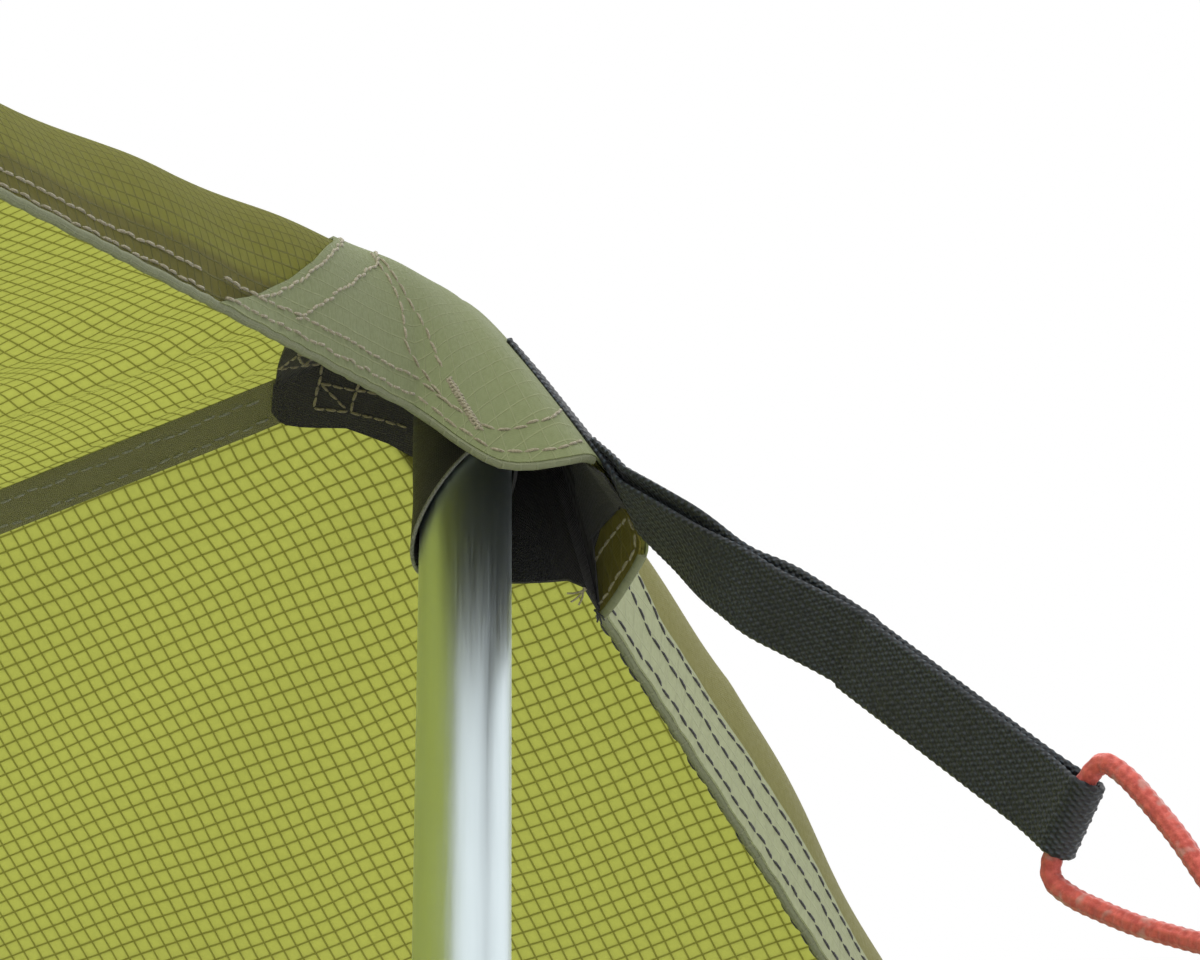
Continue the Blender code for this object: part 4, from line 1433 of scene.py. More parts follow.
@dataclass
class Peak:
    """The sewn pieces at one end of the ridge, modelled at the front and turned for the rear."""

    shape: ClothShape
    palette: Palette
    stitching: Stitching
    end: End
    hood_height: float = 0.00085
    hood_wall: float = 0.0005
    hood_reach: float = 0.030
    hood_edge: Table = ((0.0, 0.056), (0.31, 0.065), (0.59, 0.079), (0.75, 0.090), (0.90, 0.105),
                        (1.0, 0.120))
    hood_far_edge: Table = ((0.0, 0.056), (0.31, 0.050), (0.50, 0.040), (0.60, 0.036), (1.0, 0.036))
    weave_shift: tuple[float, float] = (0.0021, 0.0013)
    facing_height: float = 0.00072
    facing_wall: float = 0.0003
    strip_rise: float = 0.0003
    strip_start: float = 0.030
    strip_edge: Table = ((0.030, 0.46), (0.036, 0.53), (0.046, 0.64), (0.050, 0.69), (0.056, 0.765),
                         (0.080, 0.785), (STRIP_END, 0.79))
    liner_height: float = -0.00085
    liner_wall: float = 0.0005
    liner_near: Table = ((-0.0505, -0.0055), (-0.047, -0.0005), (-0.036, 0.0150), (-0.028, 0.0235),
                         (-0.012, 0.0290), (1.0, 0.0290))
    liner_far: Table = ((-0.0505, 0.0065), (-0.050, 0.0078), (-0.049, 0.0090), (-0.046, 0.0105),
                        (-0.037, 0.0140), (-0.029, 0.0222), (-0.027, 0.0258), (-0.012, 0.0290),
                        (1.0, 0.0290))
    lining_near: Table = ((0.70, 0.0105), (0.97, 0.0095), (1.035, 0.0078))
    lining_far: Table = ((0.70, 0.030), (0.79, 0.0275), (0.825, 0.0245), (0.855, 0.0200), (0.88, 0.0160),
                         (0.915, 0.0112), (0.96, 0.0078), (1.0, 0.0045), (1.035, 0.0030))
    lining_height: Table = ((0.97, -0.00155), (1.012, -0.0009), (1.035, -0.0001))
    gusset_wall: float = 0.0006
    pocket_wall: float = 0.0007
    web_wall: float = 0.0018
    pocket_z: float = 1.0547
    pocket_radius: float = 0.0107
    rim_drop: float = 0.0323
    rim_slope_x: float = -1.22
    rim_slope_y: float = -0.10

    def name(self, words: str) -> str:
        """Name of a piece at this end."""
        return f"{self.end.word}_{words}"

    def finish(self, piece: Piece, material: bpy.types.Material, slot: str, *nodes: str,
               body: Body = Body.TARP) -> Piece:
        """Turns a piece to this end and dresses it.

        Args:
            piece: Piece modelled at the front.
            material: Its finish.
            slot: The record's slot.
            nodes: Words of the frame nodes that it replaces at this end.
            body: What it belongs to.

        Returns:
            The same piece.
        """
        Workshop.turn_to(piece, self.end)
        return Workshop.dress(piece, material, slot, body.at(self.end), *[self.name(n) for n in nodes])

    def panel(self, words: str, across: Sequence[float], up: Sequence[float], trace: Trace,
              height: float | Callable[[np.ndarray], np.ndarray], wall: float,
              shift: tuple[float, float] = (0.0, 0.0)) -> Piece:
        """Models a layer that lies on the canopy.

        Args:
            words: Words of its name at this end.
            across: Readings across it.
            up: Readings up it.
            trace: Gives the cloth's columns and rows for readings across and up.
            height: Height above the cloth's middle, outward, or what gives it by column.
            wall: Thickness of the layer.
            shift: Way by which its weave is out of step with the cloth's.

        Returns:
            The layer, still without its finish.
        """

        def place(first: np.ndarray, second: np.ndarray) -> np.ndarray:
            """Point of the layer."""
            column, row = trace(first, second)
            return self.shape.layer(column, row, height(column) if callable(height) else height)

        piece = Workshop.grid(self.name(words), list(across), list(up), place,
                              lambda first, second: self.shape.flat(*trace(first, second)) + shift)
        return Workshop.wall(piece, wall)

    @staticmethod
    def between(near: Table, far: Table) -> Trace:
        """Trace of a patch across the ridge, from its near edge at 0 to its far edge at 1.

        Args:
            near: Near edge, as columns and distances from the ridge.
            far: Far edge, as columns and distances from the ridge.

        Returns:
            The trace.
        """

        def trace(column: np.ndarray, share: np.ndarray) -> tuple[np.ndarray, np.ndarray]:
            """Columns and rows of the patch."""
            low, high = read(near, column), read(far, column)
            return column, -low + (low + high) * share

        return trace

    def hood(self) -> Piece:
        """Models the outer double layer over the peak and its tab.

        Returns:
            The hood.
        """
        columns = list(np.linspace(-self.hood_reach, 0, 9)) + list(np.linspace(0, 1, 26)[1:])

        def trace(column: np.ndarray, row: np.ndarray) -> tuple[np.ndarray, np.ndarray]:
            """Columns and rows for shares of the hood's half width."""
            return column, row * np.where(row < 0, read(self.hood_edge, column),
                                          read(self.hood_far_edge, column))

        piece = self.panel("hood", columns, np.linspace(-1, 1, 161), trace, self.hood_height, self.hood_wall,
                           self.weave_shift)
        self.finish(piece, self.palette.hood, "hood_cloth", "peak_hood")
        return piece

    def far_facing(self) -> Piece:
        """Models the smooth olive layer on the far lip, above the strip along its hem.

        Returns:
            The facing.
        """

        def trace(share: np.ndarray, row: np.ndarray) -> tuple[np.ndarray, np.ndarray]:
            """Columns and rows from the facing's upper edge to its lap under the strip."""
            return 0.2 + (read(self.strip_edge, row) + 0.02 - 0.2) * share, row

        piece = self.panel("far_facing", np.linspace(0, 1, 33),
                           np.linspace(self.strip_start, STRIP_END, 91), trace, self.facing_height,
                           self.facing_wall)
        self.finish(piece, self.palette.facing, "hood_cloth")
        return piece

    def far_strip(self) -> Piece:
        """Models the pale strip along the far lip's hem, out to its outer seam.

        Returns:
            The strip.
        """

        def trace(share: np.ndarray, row: np.ndarray) -> tuple[np.ndarray, np.ndarray]:
            """Columns and rows from the strip's upper edge to the hem."""
            top = read(self.strip_edge, row)
            return top + (1.0 - top) * share, row

        piece = self.panel("far_hem_strip", np.linspace(0, 1, 13),
                           np.linspace(self.strip_start, STRIP_END, 91), trace,
                           self.hood_height + self.strip_rise, self.hood_wall, self.weave_shift)
        self.finish(piece, self.palette.strip, "hood_cloth")
        return piece

    def liner(self) -> Piece:
        """Models the black patch inside the peak, whose inner end is cut slantwise.

        Returns:
            The patch.
        """
        columns = [-0.0505, -0.0503, -0.050, -0.0495, -0.049, -0.0475, -0.046]
        columns += list(np.linspace(-0.043, -0.003, 14)) + list(np.linspace(0, 0.86, 16))
        piece = self.panel("liner", columns, np.linspace(0, 1, 41),
                           self.between(self.liner_near, self.liner_far), self.liner_height,
                           self.liner_wall)
        self.finish(piece, self.palette.liner, "liner_cloth", "peak_liner")
        return piece

    def lining(self) -> Piece:
        """Models the black lining on the tab's inside, which laps the tab's hem.

        Returns:
            The lining.
        """
        piece = self.panel("lining", np.linspace(0.70, 1.035, 24), np.linspace(0, 1, 31),
                           self.between(self.lining_near, self.lining_far),
                           lambda column: read(self.lining_height, column), self.liner_wall)
        self.finish(piece, self.palette.liner, "liner_cloth")
        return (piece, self.name("liner"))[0]

    def pocket(self) -> Piece:
        """Models the cup over the pole's top, with its slanted rim.

        Returns:
            The cup.
        """
        radius = self.pocket_radius
        angles = list(np.linspace(0, 2 * math.pi, 65))
        depths = list(np.linspace(0.02, 1, 34))
        middle = np.array([self.shape.pole_x, 0.0, self.pocket_z])

        def place(angle: np.ndarray, depth: np.ndarray) -> np.ndarray:
            """Point on the dome, then down the cup to its rim.

            Args:
                angle: Angles round the cup.
                depth: Shares of the way from the top to the rim.

            Returns:
                One point a corner.
            """
            turn = np.clip(depth / 0.3, 0, 1) * math.pi / 2
            down = np.clip((depth - 0.3) / 0.7, 0, 1)
            reach = radius * np.sin(turn)
            x, y = reach * np.cos(angle), reach * np.sin(angle)
            rim = -self.rim_drop - self.rim_slope_x * x - self.rim_slope_y * y
            slack = 0.00022 * np.sin(3 * angle + 9 * down) * down
            swell = 1 + slack / radius
            z = radius * np.cos(turn) + down * rim
            return middle + np.column_stack([x * swell, y * swell, z])

        piece = Workshop.grid(self.name("pocket"), angles, depths, place,
                              lambda angle, depth: np.column_stack([angle * radius, depth * 0.06]))
        self.close_dome(piece)
        Workshop.wall(piece, self.pocket_wall)
        rim_angles = np.linspace(0.8 * math.pi, 1.75 * math.pi, 65)
        rim = place(rim_angles, np.ones_like(rim_angles))
        edge = Workshop.tube("edge", rim, even_round(0.00042), 8)
        self.finish(piece, self.palette.liner, "liner_cloth", "pole_pocket", body=Body.UPPER)
        edge.name = edge.data.name = self.name("pocket_edge")
        self.finish(edge, self.palette.grey_thread, "liner_cloth", body=Body.UPPER)
        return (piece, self.name("tip_plug"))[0]

    @staticmethod
    def close_dome(piece: Piece) -> None:
        """Merges the seam of a turned surface and closes its top.

        Args:
            piece: Piece to change.
        """
        Workshop.choose(piece)
        bpy.ops.object.mode_set(mode="EDIT")
        bpy.ops.mesh.select_all(action="SELECT")
        bpy.ops.mesh.remove_doubles(threshold=0.00001)
        bpy.ops.mesh.select_all(action="DESELECT")
        bpy.ops.object.mode_set(mode="OBJECT")
        top = max(vertex.co.z for vertex in piece.data.vertices)
        for vertex in piece.data.vertices:
            vertex.select = vertex.co.z > top - 0.0002
        bpy.ops.object.mode_set(mode="EDIT")
        bpy.ops.mesh.select_mode(type="VERT")
        bpy.ops.mesh.edge_face_add()
        bpy.ops.mesh.select_all(action="SELECT")
        bpy.ops.mesh.normals_make_consistent(inside=False)
        bpy.ops.object.mode_set(mode="OBJECT")

    def gusset(self) -> Piece:
        """Models the black gusset that runs from behind the pole to the tab's far half.

        Returns:
            The gusset.
        """
        edge = np.array([(3.0, 12.7, 1.6), (7.0, 13.4, 0.6), (11.0, 14.9, 0.3), (14.5, 17.0, 0.8),
                         (17.2, 19.2, -0.6), (16.8, 26.0, -2.2)]) / 1000 + (self.shape.pole_x, 0, 1.0087)
        marks = np.linspace(0, 1, len(edge))

        def seam(rise: np.ndarray, over: np.ndarray, offset: float) -> np.ndarray:
            """Point on the tab's inside along the gusset's seam, or past it on its flange."""
            return self.shape.layer(0.83 - 0.55 * rise + 0 * over, 0.0200 - 0.004 * rise + 0.004 * over,
                                    offset)

        def place(across: np.ndarray, rise: np.ndarray) -> np.ndarray:
            """Point between the pocket's side and the tab, above the free edge.

            Args:
                across: Shares of the way from the pocket to the seam, past 1 on the flange.
                rise: Shares of the way from the free edge up.

            Returns:
                One point a corner.
            """
            along = np.clip(across, 0, 1)
            over = np.clip(across - 1, 0, 1) / 0.2
            right = seam(rise, over, -0.0013)
            foot = seam(0 * rise, 0 * over, -0.0013)
            left = np.column_stack([self.shape.pole_x + 0.003 + 0 * rise, 0.0127 + 0 * rise,
                                    edge[0, 2] + 0.046 * rise])
            low = np.column_stack([np.interp(along, marks, edge[:, axis]) for axis in range(3)])
            plain = edge[0] + (foot - edge[0]) * along[:, None]
            fold = 0.0012 * np.sin(2 * math.pi * along) * np.sin(math.pi * np.clip(rise * 1.6, 0, 1))
            dip = (low - plain) * ((1 - rise) ** 2 * (across <= 1))[:, None]
            point = left + (right - left) * along[:, None] + dip
            return point + fold[:, None] * np.array([0.4, 0.5, 0.0])

        columns = list(np.linspace(0, 1, 31)) + [1.05, 1.1, 1.2]
        piece = Workshop.grid(self.name("gusset"), columns, list(np.linspace(0, 1, 31)),
                              place, lambda across, rise: np.column_stack([across * 0.02, rise * 0.045]))
        Workshop.wall(piece, self.gusset_wall)
        self.finish(piece, self.palette.liner, "liner_cloth")
        return (piece, self.name("liner"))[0]

    def thread_tails(self) -> None:
        """Models the loose thread ends at the gusset's lower corner, brown and black."""
        right, up = np.array([0.874, 0.486, -0.012]), np.array([0.320, -0.557, 0.766])
        base = np.array([self.shape.pole_x, 0.0, 1.0087])
        roots = {"brown": (base + (0.0168, 0.0194, -0.0012), ((-0.0034, -0.0006), (-0.0026, -0.0024),
                                                              (-0.0010, -0.0030)), self.palette.thread),
                 "black": (base + (0.0164, 0.0255, -0.0024), ((0.0002, -0.0022), (0.0011, -0.0026),
                                                              (0.0017, -0.0018)), self.palette.black_thread)}
        for word, (root, ends, material) in roots.items():
            tails = []
            for across, rise in ends:
                way = across * right + rise * up
                curl = 0.0004 * np.cross(way, (0.5, 0.6, 0.6)) / np.linalg.norm(way)
                path = np.array([root + way * share + curl * math.sin(math.pi * share)
                                 for share in np.linspace(-0.2, 1, 9)])
                tails.append(Workshop.tube("tail", path, even_round(0.00020), 8))
            piece = Workshop.join(self.name(f"{word}_thread_tails"), tails)
            self.finish(piece, material, "liner_cloth")

    def web(self) -> Piece:
        """Models the sewn web that ties the pocket to the ridge.

        Returns:
            The dressed web.
        """
        radius = self.pocket_radius + self.pocket_wall
        columns = list(np.linspace(-50, -14, 10))
        rows = list(np.linspace(0, 1, 8))
        top = self.shape.peak_z - 0.0026 - self.pocket_z

        def place(degrees: np.ndarray, rise: np.ndarray) -> np.ndarray:
            """Point between the dome and the ridge.

            Args:
                degrees: Angles from the pocket's top, in degrees.
                rise: Shares of the way up to the ridge.

            Returns:
                One point a corner.
            """
            turn = np.radians(degrees)
            x, low = radius * np.sin(turn), radius * np.cos(turn)
            bulge = 0.0003 * np.sin(math.pi * rise)
            return np.column_stack([self.shape.pole_x + x, bulge, self.pocket_z + low + (top - low) * rise])

        piece = Workshop.grid(self.name("web"), columns, rows, place)
        Workshop.wall(piece, self.web_wall)
        return self.finish(piece, self.palette.liner, "liner_cloth", "pocket_web")

    def threads(self) -> None:
        """Sews the hood, the far strip, the liner's box and the tab's hem."""
        above, below = self.hood_height + THREAD_LIFT, self.liner_height - THREAD_LIFT
        seams, sew, palette = PeakSeams(), self.stitching, self.palette
        tan = [stitch for path in seams.hood for stitch in sew.row(path, above)]
        tan += sew.tack(*seams.tack, above, 0.0022, 30)
        dark = [stitch for path in seams.strip for stitch in sew.row(path, above + self.strip_rise)]
        dark += sew.row(seams.strip_fold, -0.00112, 0.0040)
        box = [stitch for path in seams.box for way in (1, -1)
               for stitch in sew.row([(column, way * row) for column, row in path], below, 0.0026, 0.0001)]
        inside = [stitch for path in seams.tab_hem for stitch in sew.row(path, -0.00098, 0.0036, 0.0001)]
        for words, stitches, thread, slot in (("near_hood_stitches", tan, palette.thread, "hood_cloth"),
                                              ("far_hood_stitches", dark, palette.dark_thread, "hood_cloth"),
                                              ("liner_stitches", box, palette.thread, "liner_cloth"),
                                              ("tab_hem_stitches", inside, palette.thread, "ripstop")):
            piece = sew.sew(self.name(words), stitches, self.end)
            Workshop.dress(piece, thread, slot, Body.TARP.value)

    def build(self) -> None:
        """Models every sewn piece of this end."""
        self.hood()
        self.far_facing()
        self.far_strip()
        self.liner()
        self.lining()
        self.pocket()
        self.gusset()
        self.thread_tails()
        self.web()
        self.threads()


@dataclass(frozen=True)
class Ribs:
    """Relief of webbing: ribs along it, each raised in beats that alternate with its neighbour's."""

    width: float
    beat: float
    inset: float
    depth: float
    rounding: float

    def height(self, thickness: float, distance: np.ndarray, at: np.ndarray, share: np.ndarray) -> np.ndarray:
        """Height of a face above the webbing's middle.

        Args:
            thickness: Thickness of the webbing.
            distance: Distance along it.
            at: Distance from its middle line.
            share: The same distance as a share of half its width.

        Returns:
            One height a point.
        """
        rib = np.abs(np.sin(math.pi * at / self.width))
        beat = 0.5 + 0.5 * np.cos(2 * math.pi * (distance / self.beat + 0.5 * np.floor(at / self.width)))
        edge = np.clip((1 - np.abs(share)) / self.rounding, 0, 1)
        return (thickness / 2 - self.inset) * np.sqrt(edge) + self.depth * rib * beat * edge


@dataclass
class Strap:
    """Webbing sewn along the tab, twisted, and folded back round a loop of cord."""

    shape: ClothShape
    palette: Palette
    stitching: Stitching
    end: End
    width: float = 0.015
    thickness: float = 0.0016
    start: tuple[float, float, float] = (1.4412, 0.0, 1.01)
    cut: tuple[float, float, float] = (1.4142, 0.0, 1.0572)
    fall: float = 52.5
    free: float = 0.140
    twist: float = -62.0
    doubled: float = 0.066
    lowered: Table = ((-0.012, 0.0), (-0.004, 0.0010), (0.025, 0.0010), (0.038, 0.0), (0.047, 0.0008),
                      (0.056, 0.0005), (0.066, 0.0))
    raised: Table = ((-0.012, 0.0), (-0.004, 0.0011), (0.022, 0.0011), (0.036, -0.0002), (0.040, 0.0),
                     (0.047, 0.0010), (0.058, 0.0006), (0.073, -0.0001))
    parted: Table = ((-0.014, 0.0006), (-0.007, 0.0017), (0.004, 0.0022), (0.025, 0.0021), (0.038, 0.0017),
                     (0.047, 0.0024), (0.060, 0.0021), (0.073, 0.0017))
    turns: Table = ((-0.024, 0.0), (-0.010, -7.0), (0.0, -15.0), (0.005, -19.0), (0.0165, -29.0),
                    (0.020, -33.0), (0.0285, -44.0), (0.0355, -54.0), (0.044, -62.0))
    edge_rise: Table = ((0.0, -0.0019), (0.015, -0.0001), (0.035, 0.0022), (0.055, 0.0047), (0.074, 0.0066))
    edge_side: Table = ((0.0, -0.0075), (0.020, -0.0068), (0.045, -0.0050), (0.074, -0.0035))
    step: float = 0.0008
    layer_gap: float = 0.0004
    ribs: Ribs = Ribs(0.0012, 0.0021, 0.00028, 0.00030, 0.06)
    cord: float = 0.004
    knot_length: float = 0.012

    def __post_init__(self) -> None:
        """Works out the strap's own directions."""
        fall = math.radians(self.fall)
        self.along = np.array([math.cos(fall), 0, -math.sin(fall)])
        self.out = np.array([math.sin(fall), 0, math.cos(fall)])
        self.root = np.array(self.start)
        self.eye = self.root + self.along * self.free

    def turned(self, degrees: float) -> tuple[np.ndarray, np.ndarray]:
        """Across and outward vectors at a turn about the strap's length.

        Args:
            degrees: Turn in degrees.

        Returns:
            The two vectors.
        """
        angle = math.radians(degrees)
        side = np.array([0.0, 1.0, 0.0])
        return (math.cos(angle) * side + math.sin(angle) * self.out,
                math.cos(angle) * self.out - math.sin(angle) * side)

    @staticmethod
    def smoothed(table: Table, distance: float) -> float:
        """Smoothed reading of a table of distances and values."""
        return float(np.mean(read(table, distance + np.linspace(-0.004, 0.004, 9))))

    def edge_at(self, distance: float) -> np.ndarray:
        """Point on the webbing's upper edge, along the tab and then down to the fold.

        Args:
            distance: Distance from the fold at the tab's end, below 0 along the tab.

        Returns:
            The point.
        """
        side = np.array([0.0, self.smoothed(self.edge_side, distance), 0.0])
        if distance >= 0:
            rise = self.smoothed(self.edge_rise, distance)
            return side + self.root + self.along * distance + self.out * rise
        foot = self.root + self.out * self.edge_rise[0][1]
        sewn = foot - np.array(self.cut)
        return side + foot + sewn * distance / float(np.linalg.norm(sewn))

    def outer_stations(self) -> Frames:
        """Middle, across and outward vectors of the outer layer, from the tab to where it joins the strap.

        Returns:
            The three vectors, one of each a station.
        """
        middles, acrosses, outs = [], [], []
        doubled = self.free - self.doubled
        for distance in np.arange(self.parted[0][0], doubled - 0.0005, self.step):
            across, out = self.turned(self.smoothed(self.turns, distance))
            edge = self.edge_at(distance) - across * self.smoothed(self.raised, distance)
            lift = (self.thickness / 2 + self.layer_gap) * max(distance / doubled, 0) ** 2
            lift += self.smoothed(self.parted, distance)
            middles.append(edge + across * self.width / 2 + out * lift)
            acrosses.append(across)
            outs.append(out)
        return np.array(middles), np.array(acrosses), np.array(outs)

    def stations(self) -> Frames:
        """Middle, across and outward vectors along the webbing, from its cut end to its frayed end.

        Returns:
            The three vectors, one of each a station.
        """
        layer = self.thickness / 2 + self.layer_gap
        radius = self.cord / 2 + 0.0003 + 0.0009
        doubled = self.free - self.doubled
        middles, acrosses, outs = [], [], []

        def add(middle: np.ndarray, across: np.ndarray, out: np.ndarray) -> None:
            """Notes one station.

            Args:
                middle: Middle of the webbing.
                across: Way across it.
                out: Way out of its face.
            """
            middles.append(middle)
            acrosses.append(across)
            outs.append(out)

        foot = self.root + self.out * self.edge_rise[0][1]
        length = float(np.linalg.norm(foot - np.array(self.cut)))
        for distance in np.arange(-length, doubled, self.step):
            across, out = self.turned(self.smoothed(self.turns, distance))
            edge = self.edge_at(distance) + across * self.smoothed(self.lowered, distance)
            lift = layer * min(max(distance / doubled, 0), 1) ** 2
            add(edge + across * self.width / 2 + out * lift, across, out)
        across, out = self.turned(self.twist)

        def lift(distance: float) -> float:
            """Height of a layer of the doubled part above the strap's middle."""
            opened = max(0.0, 1 - (self.free - distance) / 0.014)
            return layer + (radius - layer) * opened ** 2

        runs = np.arange(doubled, self.free, self.step)
        for distance in runs:
            add(self.root + self.along * distance + out * lift(distance), across, out)
        for angle in np.linspace(math.pi / 2, -math.pi / 2, 13)[1:-1]:
            way = math.sin(angle) * out + math.cos(angle) * self.along
            add(self.eye + radius * way, across, way)
        for distance in runs[::-1]:
            add(self.root + self.along * distance - out * lift(distance), across, -out)
        return np.array(middles), np.array(acrosses), np.array(outs)

    def webbing(self, name: str, stations: Frames,
                *nodes: str) -> Piece:
        """Models woven webbing, with its ribs as real relief.

        Args:
            name: Words of the piece's name at this end.
            stations: Middle, across and outward vectors along it.
            nodes: Frame nodes that it replaces.

        Returns:
            The dressed webbing.
        """
        walked = walk(stations[0])
        even = np.arange(0, walked[-1], 0.00045)
        middle, across, out = (resample(even, walked, table) for table in stations)

        def place(station: np.ndarray, share: np.ndarray, face: int) -> np.ndarray:
            """Point on one face of the webbing.

            Args:
                station: Stations along the webbing.
                share: Shares of half its width.
                face: Face, 1 or -1.

            Returns:
                One point a corner.
            """
            at = share * self.width / 2
            height = self.ribs.height(self.thickness, even[station], at, share)
            rough = 1 + 0.012 * np.sin(even[station] / 0.00034) * (np.abs(share) > 0.97)
            return (middle[station] + (at * rough)[:, None] * across[station]
                    + (face * height)[:, None] * out[station])

        piece = Workshop.ribbon(f"{self.end.word}_{name}", even, 49, self.width, place)
        Workshop.turn_to(piece, self.end)
        return Workshop.dress(piece, self.palette.webbing, "webbing", Body.TARP.value, *nodes)

    def route(self) -> np.ndarray:
        """Smooth route of the cord, through the same points as the frame's cord.

        Returns:
            Points along the cord's middle.
        """
        half = [(0.0025, 0.0520), (0.0025, 0.0475), (0.0037, 0.0415), (0.0062, 0.0335), (0.0088, 0.0250),
                (0.0108, 0.0160), (0.0121, 0.0080), (0.0115, 0.0020), (0.0065, 0.0)]
        knots = half + [(0.0, 0.0)] + [(-a, b) for a, b in reversed(half)]
        across, _ = self.turned(self.twist)
        points = [self.eye + a * across + b * self.along for a, b in knots]
        padded = [2 * points[0] - points[1]] + points + [2 * points[-1] - points[-2]]
        fine = []
        for p, q, r, s in zip(padded, padded[1:], padded[2:], padded[3:]):
            for t in np.linspace(0, 1, 14, endpoint=False):
                fine.append(0.5 * (2 * q + (r - p) * t + (2 * p - 5 * q + 4 * r - s) * t ** 2
                                   + (3 * q - p - 3 * r + s) * t ** 3))
        return np.array(fine + [points[-1]])

    def cord_loop(self) -> None:
        path = self.route()
        walked = walk(path)
        even = np.linspace(0, walked[-1], int(walked[-1] / 0.0005))
        path = resample(even, walked, path)
        loop = Workshop.tube(f"{self.end.word}_cord", path,
                             braid(self.cord / 2 - 0.00012, 0.00016, 0.00072), 32)
        knot_turns = np.linspace(0, 3 * 2 * math.pi, 140)
        across, out = self.turned(self.twist)
        base = self.eye + self.along * 0.0523
        climb = 0.0019 + (self.knot_length - 0.0038) * np.linspace(0, 1, 140)
        knot_path = (base + climb[:, None] * self.along + (0.0035 * np.cos(knot_turns))[:, None] * across
                     + (0.0035 * np.sin(knot_turns))[:, None] * out)
        wraps = Workshop.tube("wraps", knot_path, braid(0.00185, 0.00010, 0.0007), 20)
        core_path = base + np.linspace(0.0008, self.knot_length - 0.0004, 20)[:, None] * self.along
        core = Workshop.tube("core", core_path, even_round(0.0026), 16)
        knot = Workshop.join(f"{self.end.word}_cord_knot", [wraps, core])
        for piece in (loop, knot):
            Workshop.turn_to(piece, self.end)
        Workshop.dress(loop, self.palette.cord, "guy_cord", Body.TARP.value, f"{self.end.word}_guy_cord")
        Workshop.dress(knot, self.palette.cord, "guy_cord", Body.TARP.value, f"{self.end.word}_guy_knot")
        if self.end is End.REAR:
            path = path * (-1, -1, 1)

    def build(self) -> None:
        """Models the cord first, then the webbing round it."""
        self.cord_loop()
        self.webbing("webbing", self.stations(), f"{self.end.word}_strap")
        self.webbing("webbing_outer", self.outer_stations())


@dataclass
class Corner:
    """Black patch at one corner of the cloth, with its stitches."""

    shape: ClothShape
    palette: Palette
    stitching: Stitching
    end: End
    side: Side
    reach: float = 0.10
    width: float = 0.14

    def build(self) -> Piece:
        """Models the black patch under the corner, with its stitches.

        Returns:
            The patch.
        """
        way = self.side.value * self.end.value
        low, high = self.shape.half_width - self.width, self.shape.half_width - 0.0145
        columns = list(np.linspace(-self.reach, 0, 12)) + list(np.linspace(0, 0.78, 6)[1:])
        rows = mirrored(list(np.linspace(low, high, 24)), way)
        piece = Workshop.grid(f"{self.end.word}_{self.side.word}_patch", columns, rows,
                              lambda c, r: self.shape.layer(c, r, -0.00085), self.shape.flat)
        Workshop.wall(piece, 0.0005)
        Workshop.turn_to(piece, self.end)
        Workshop.dress(piece, self.palette.liner, "liner_cloth", Body.TARP.value,
                       f"{self.end.word}_{self.side.word}_corner_patch")
        stitches = []
        inner, outer = low + 0.004, high - 0.004
        for path in ([(-self.reach + 0.004, inner), (0.70, inner)],
                     [(-self.reach + 0.004, inner), (-self.reach + 0.004, outer)],
                     [(-self.reach + 0.010, inner + 0.006), (0.60, inner + 0.006)]):
            stitches += self.stitching.row([(c, way * r) for c, r in path], -0.00113)
        thread = self.stitching.sew(f"{self.end.word}_{self.side.word}_patch_stitches", stitches, self.end)
        Workshop.dress(thread, self.palette.thread, "liner_cloth", Body.TARP.value)
        return piece


@dataclass
class PegLoop:
    """Webbing loop that stands on its edge on the ground."""

    palette: Palette
    name: str
    node: str
    thickness: float = 0.0016
    closed: float = 0.25
    reach: float = 0.042
    radius: float = 0.014
    neck: float = 0.012
    opening: float = 130.0
    steps: int = 13
    ribs: Ribs = Ribs(0.0014, 0.0027, 0.0002, 0.0002, 0.1)

    def build(self, root: Vector, heading: float, height: float) -> Piece:
        """Models the loop out from its root.

        Args:
            root: Point on the cloth's edge, above the ground.
            heading: Way that the loop points, in radians.
            height: Width of the webbing, which stands upright.

        Returns:
            The loop.
        """
        gap = 0.0009 + 0.00045
        flat = [(-self.neck, gap), (self.reach * self.closed, gap)]
        for angle in np.radians(np.linspace(self.opening, -self.opening, self.steps + 1)):
            flat.append((self.reach + self.radius * math.cos(angle), self.radius * math.sin(angle)))
        flat += [(self.reach * self.closed, -gap), (-self.neck, -gap)]
        flat = np.array(flat)
        walked = walk(flat)
        even = np.arange(0, walked[-1], 0.0009)
        line = resample(even, walked, flat)
        out = np.array([math.cos(heading), math.sin(heading), 0.0])
        side = np.array([-out[1], out[0], 0.0])
        up = np.array([0.0, 0.0, 1.0])
        points = np.array([root.x, root.y, height / 2]) + line[:, :1] * out + line[:, 1:] * side
        normals = np.cross(np.gradient(points, axis=0), up)
        normals /= np.linalg.norm(normals, axis=1)[:, None]

        def place(station: np.ndarray, share: np.ndarray, face: int) -> np.ndarray:
            """Point on one face of the webbing.

            Args:
                station: Stations along the webbing.
                share: Shares of half its width.
                face: Face, 1 or -1.

            Returns:
                One point a corner.
            """
            at = share * height / 2
            rise = self.ribs.height(self.thickness, even[station], at, share)
            return points[station] + at[:, None] * up + (face * rise)[:, None] * normals[station]

        piece = Workshop.ribbon(self.name, even, 25, height, place)
        return Workshop.dress(piece, self.palette.webbing, "webbing", Body.TARP.value, self.node)


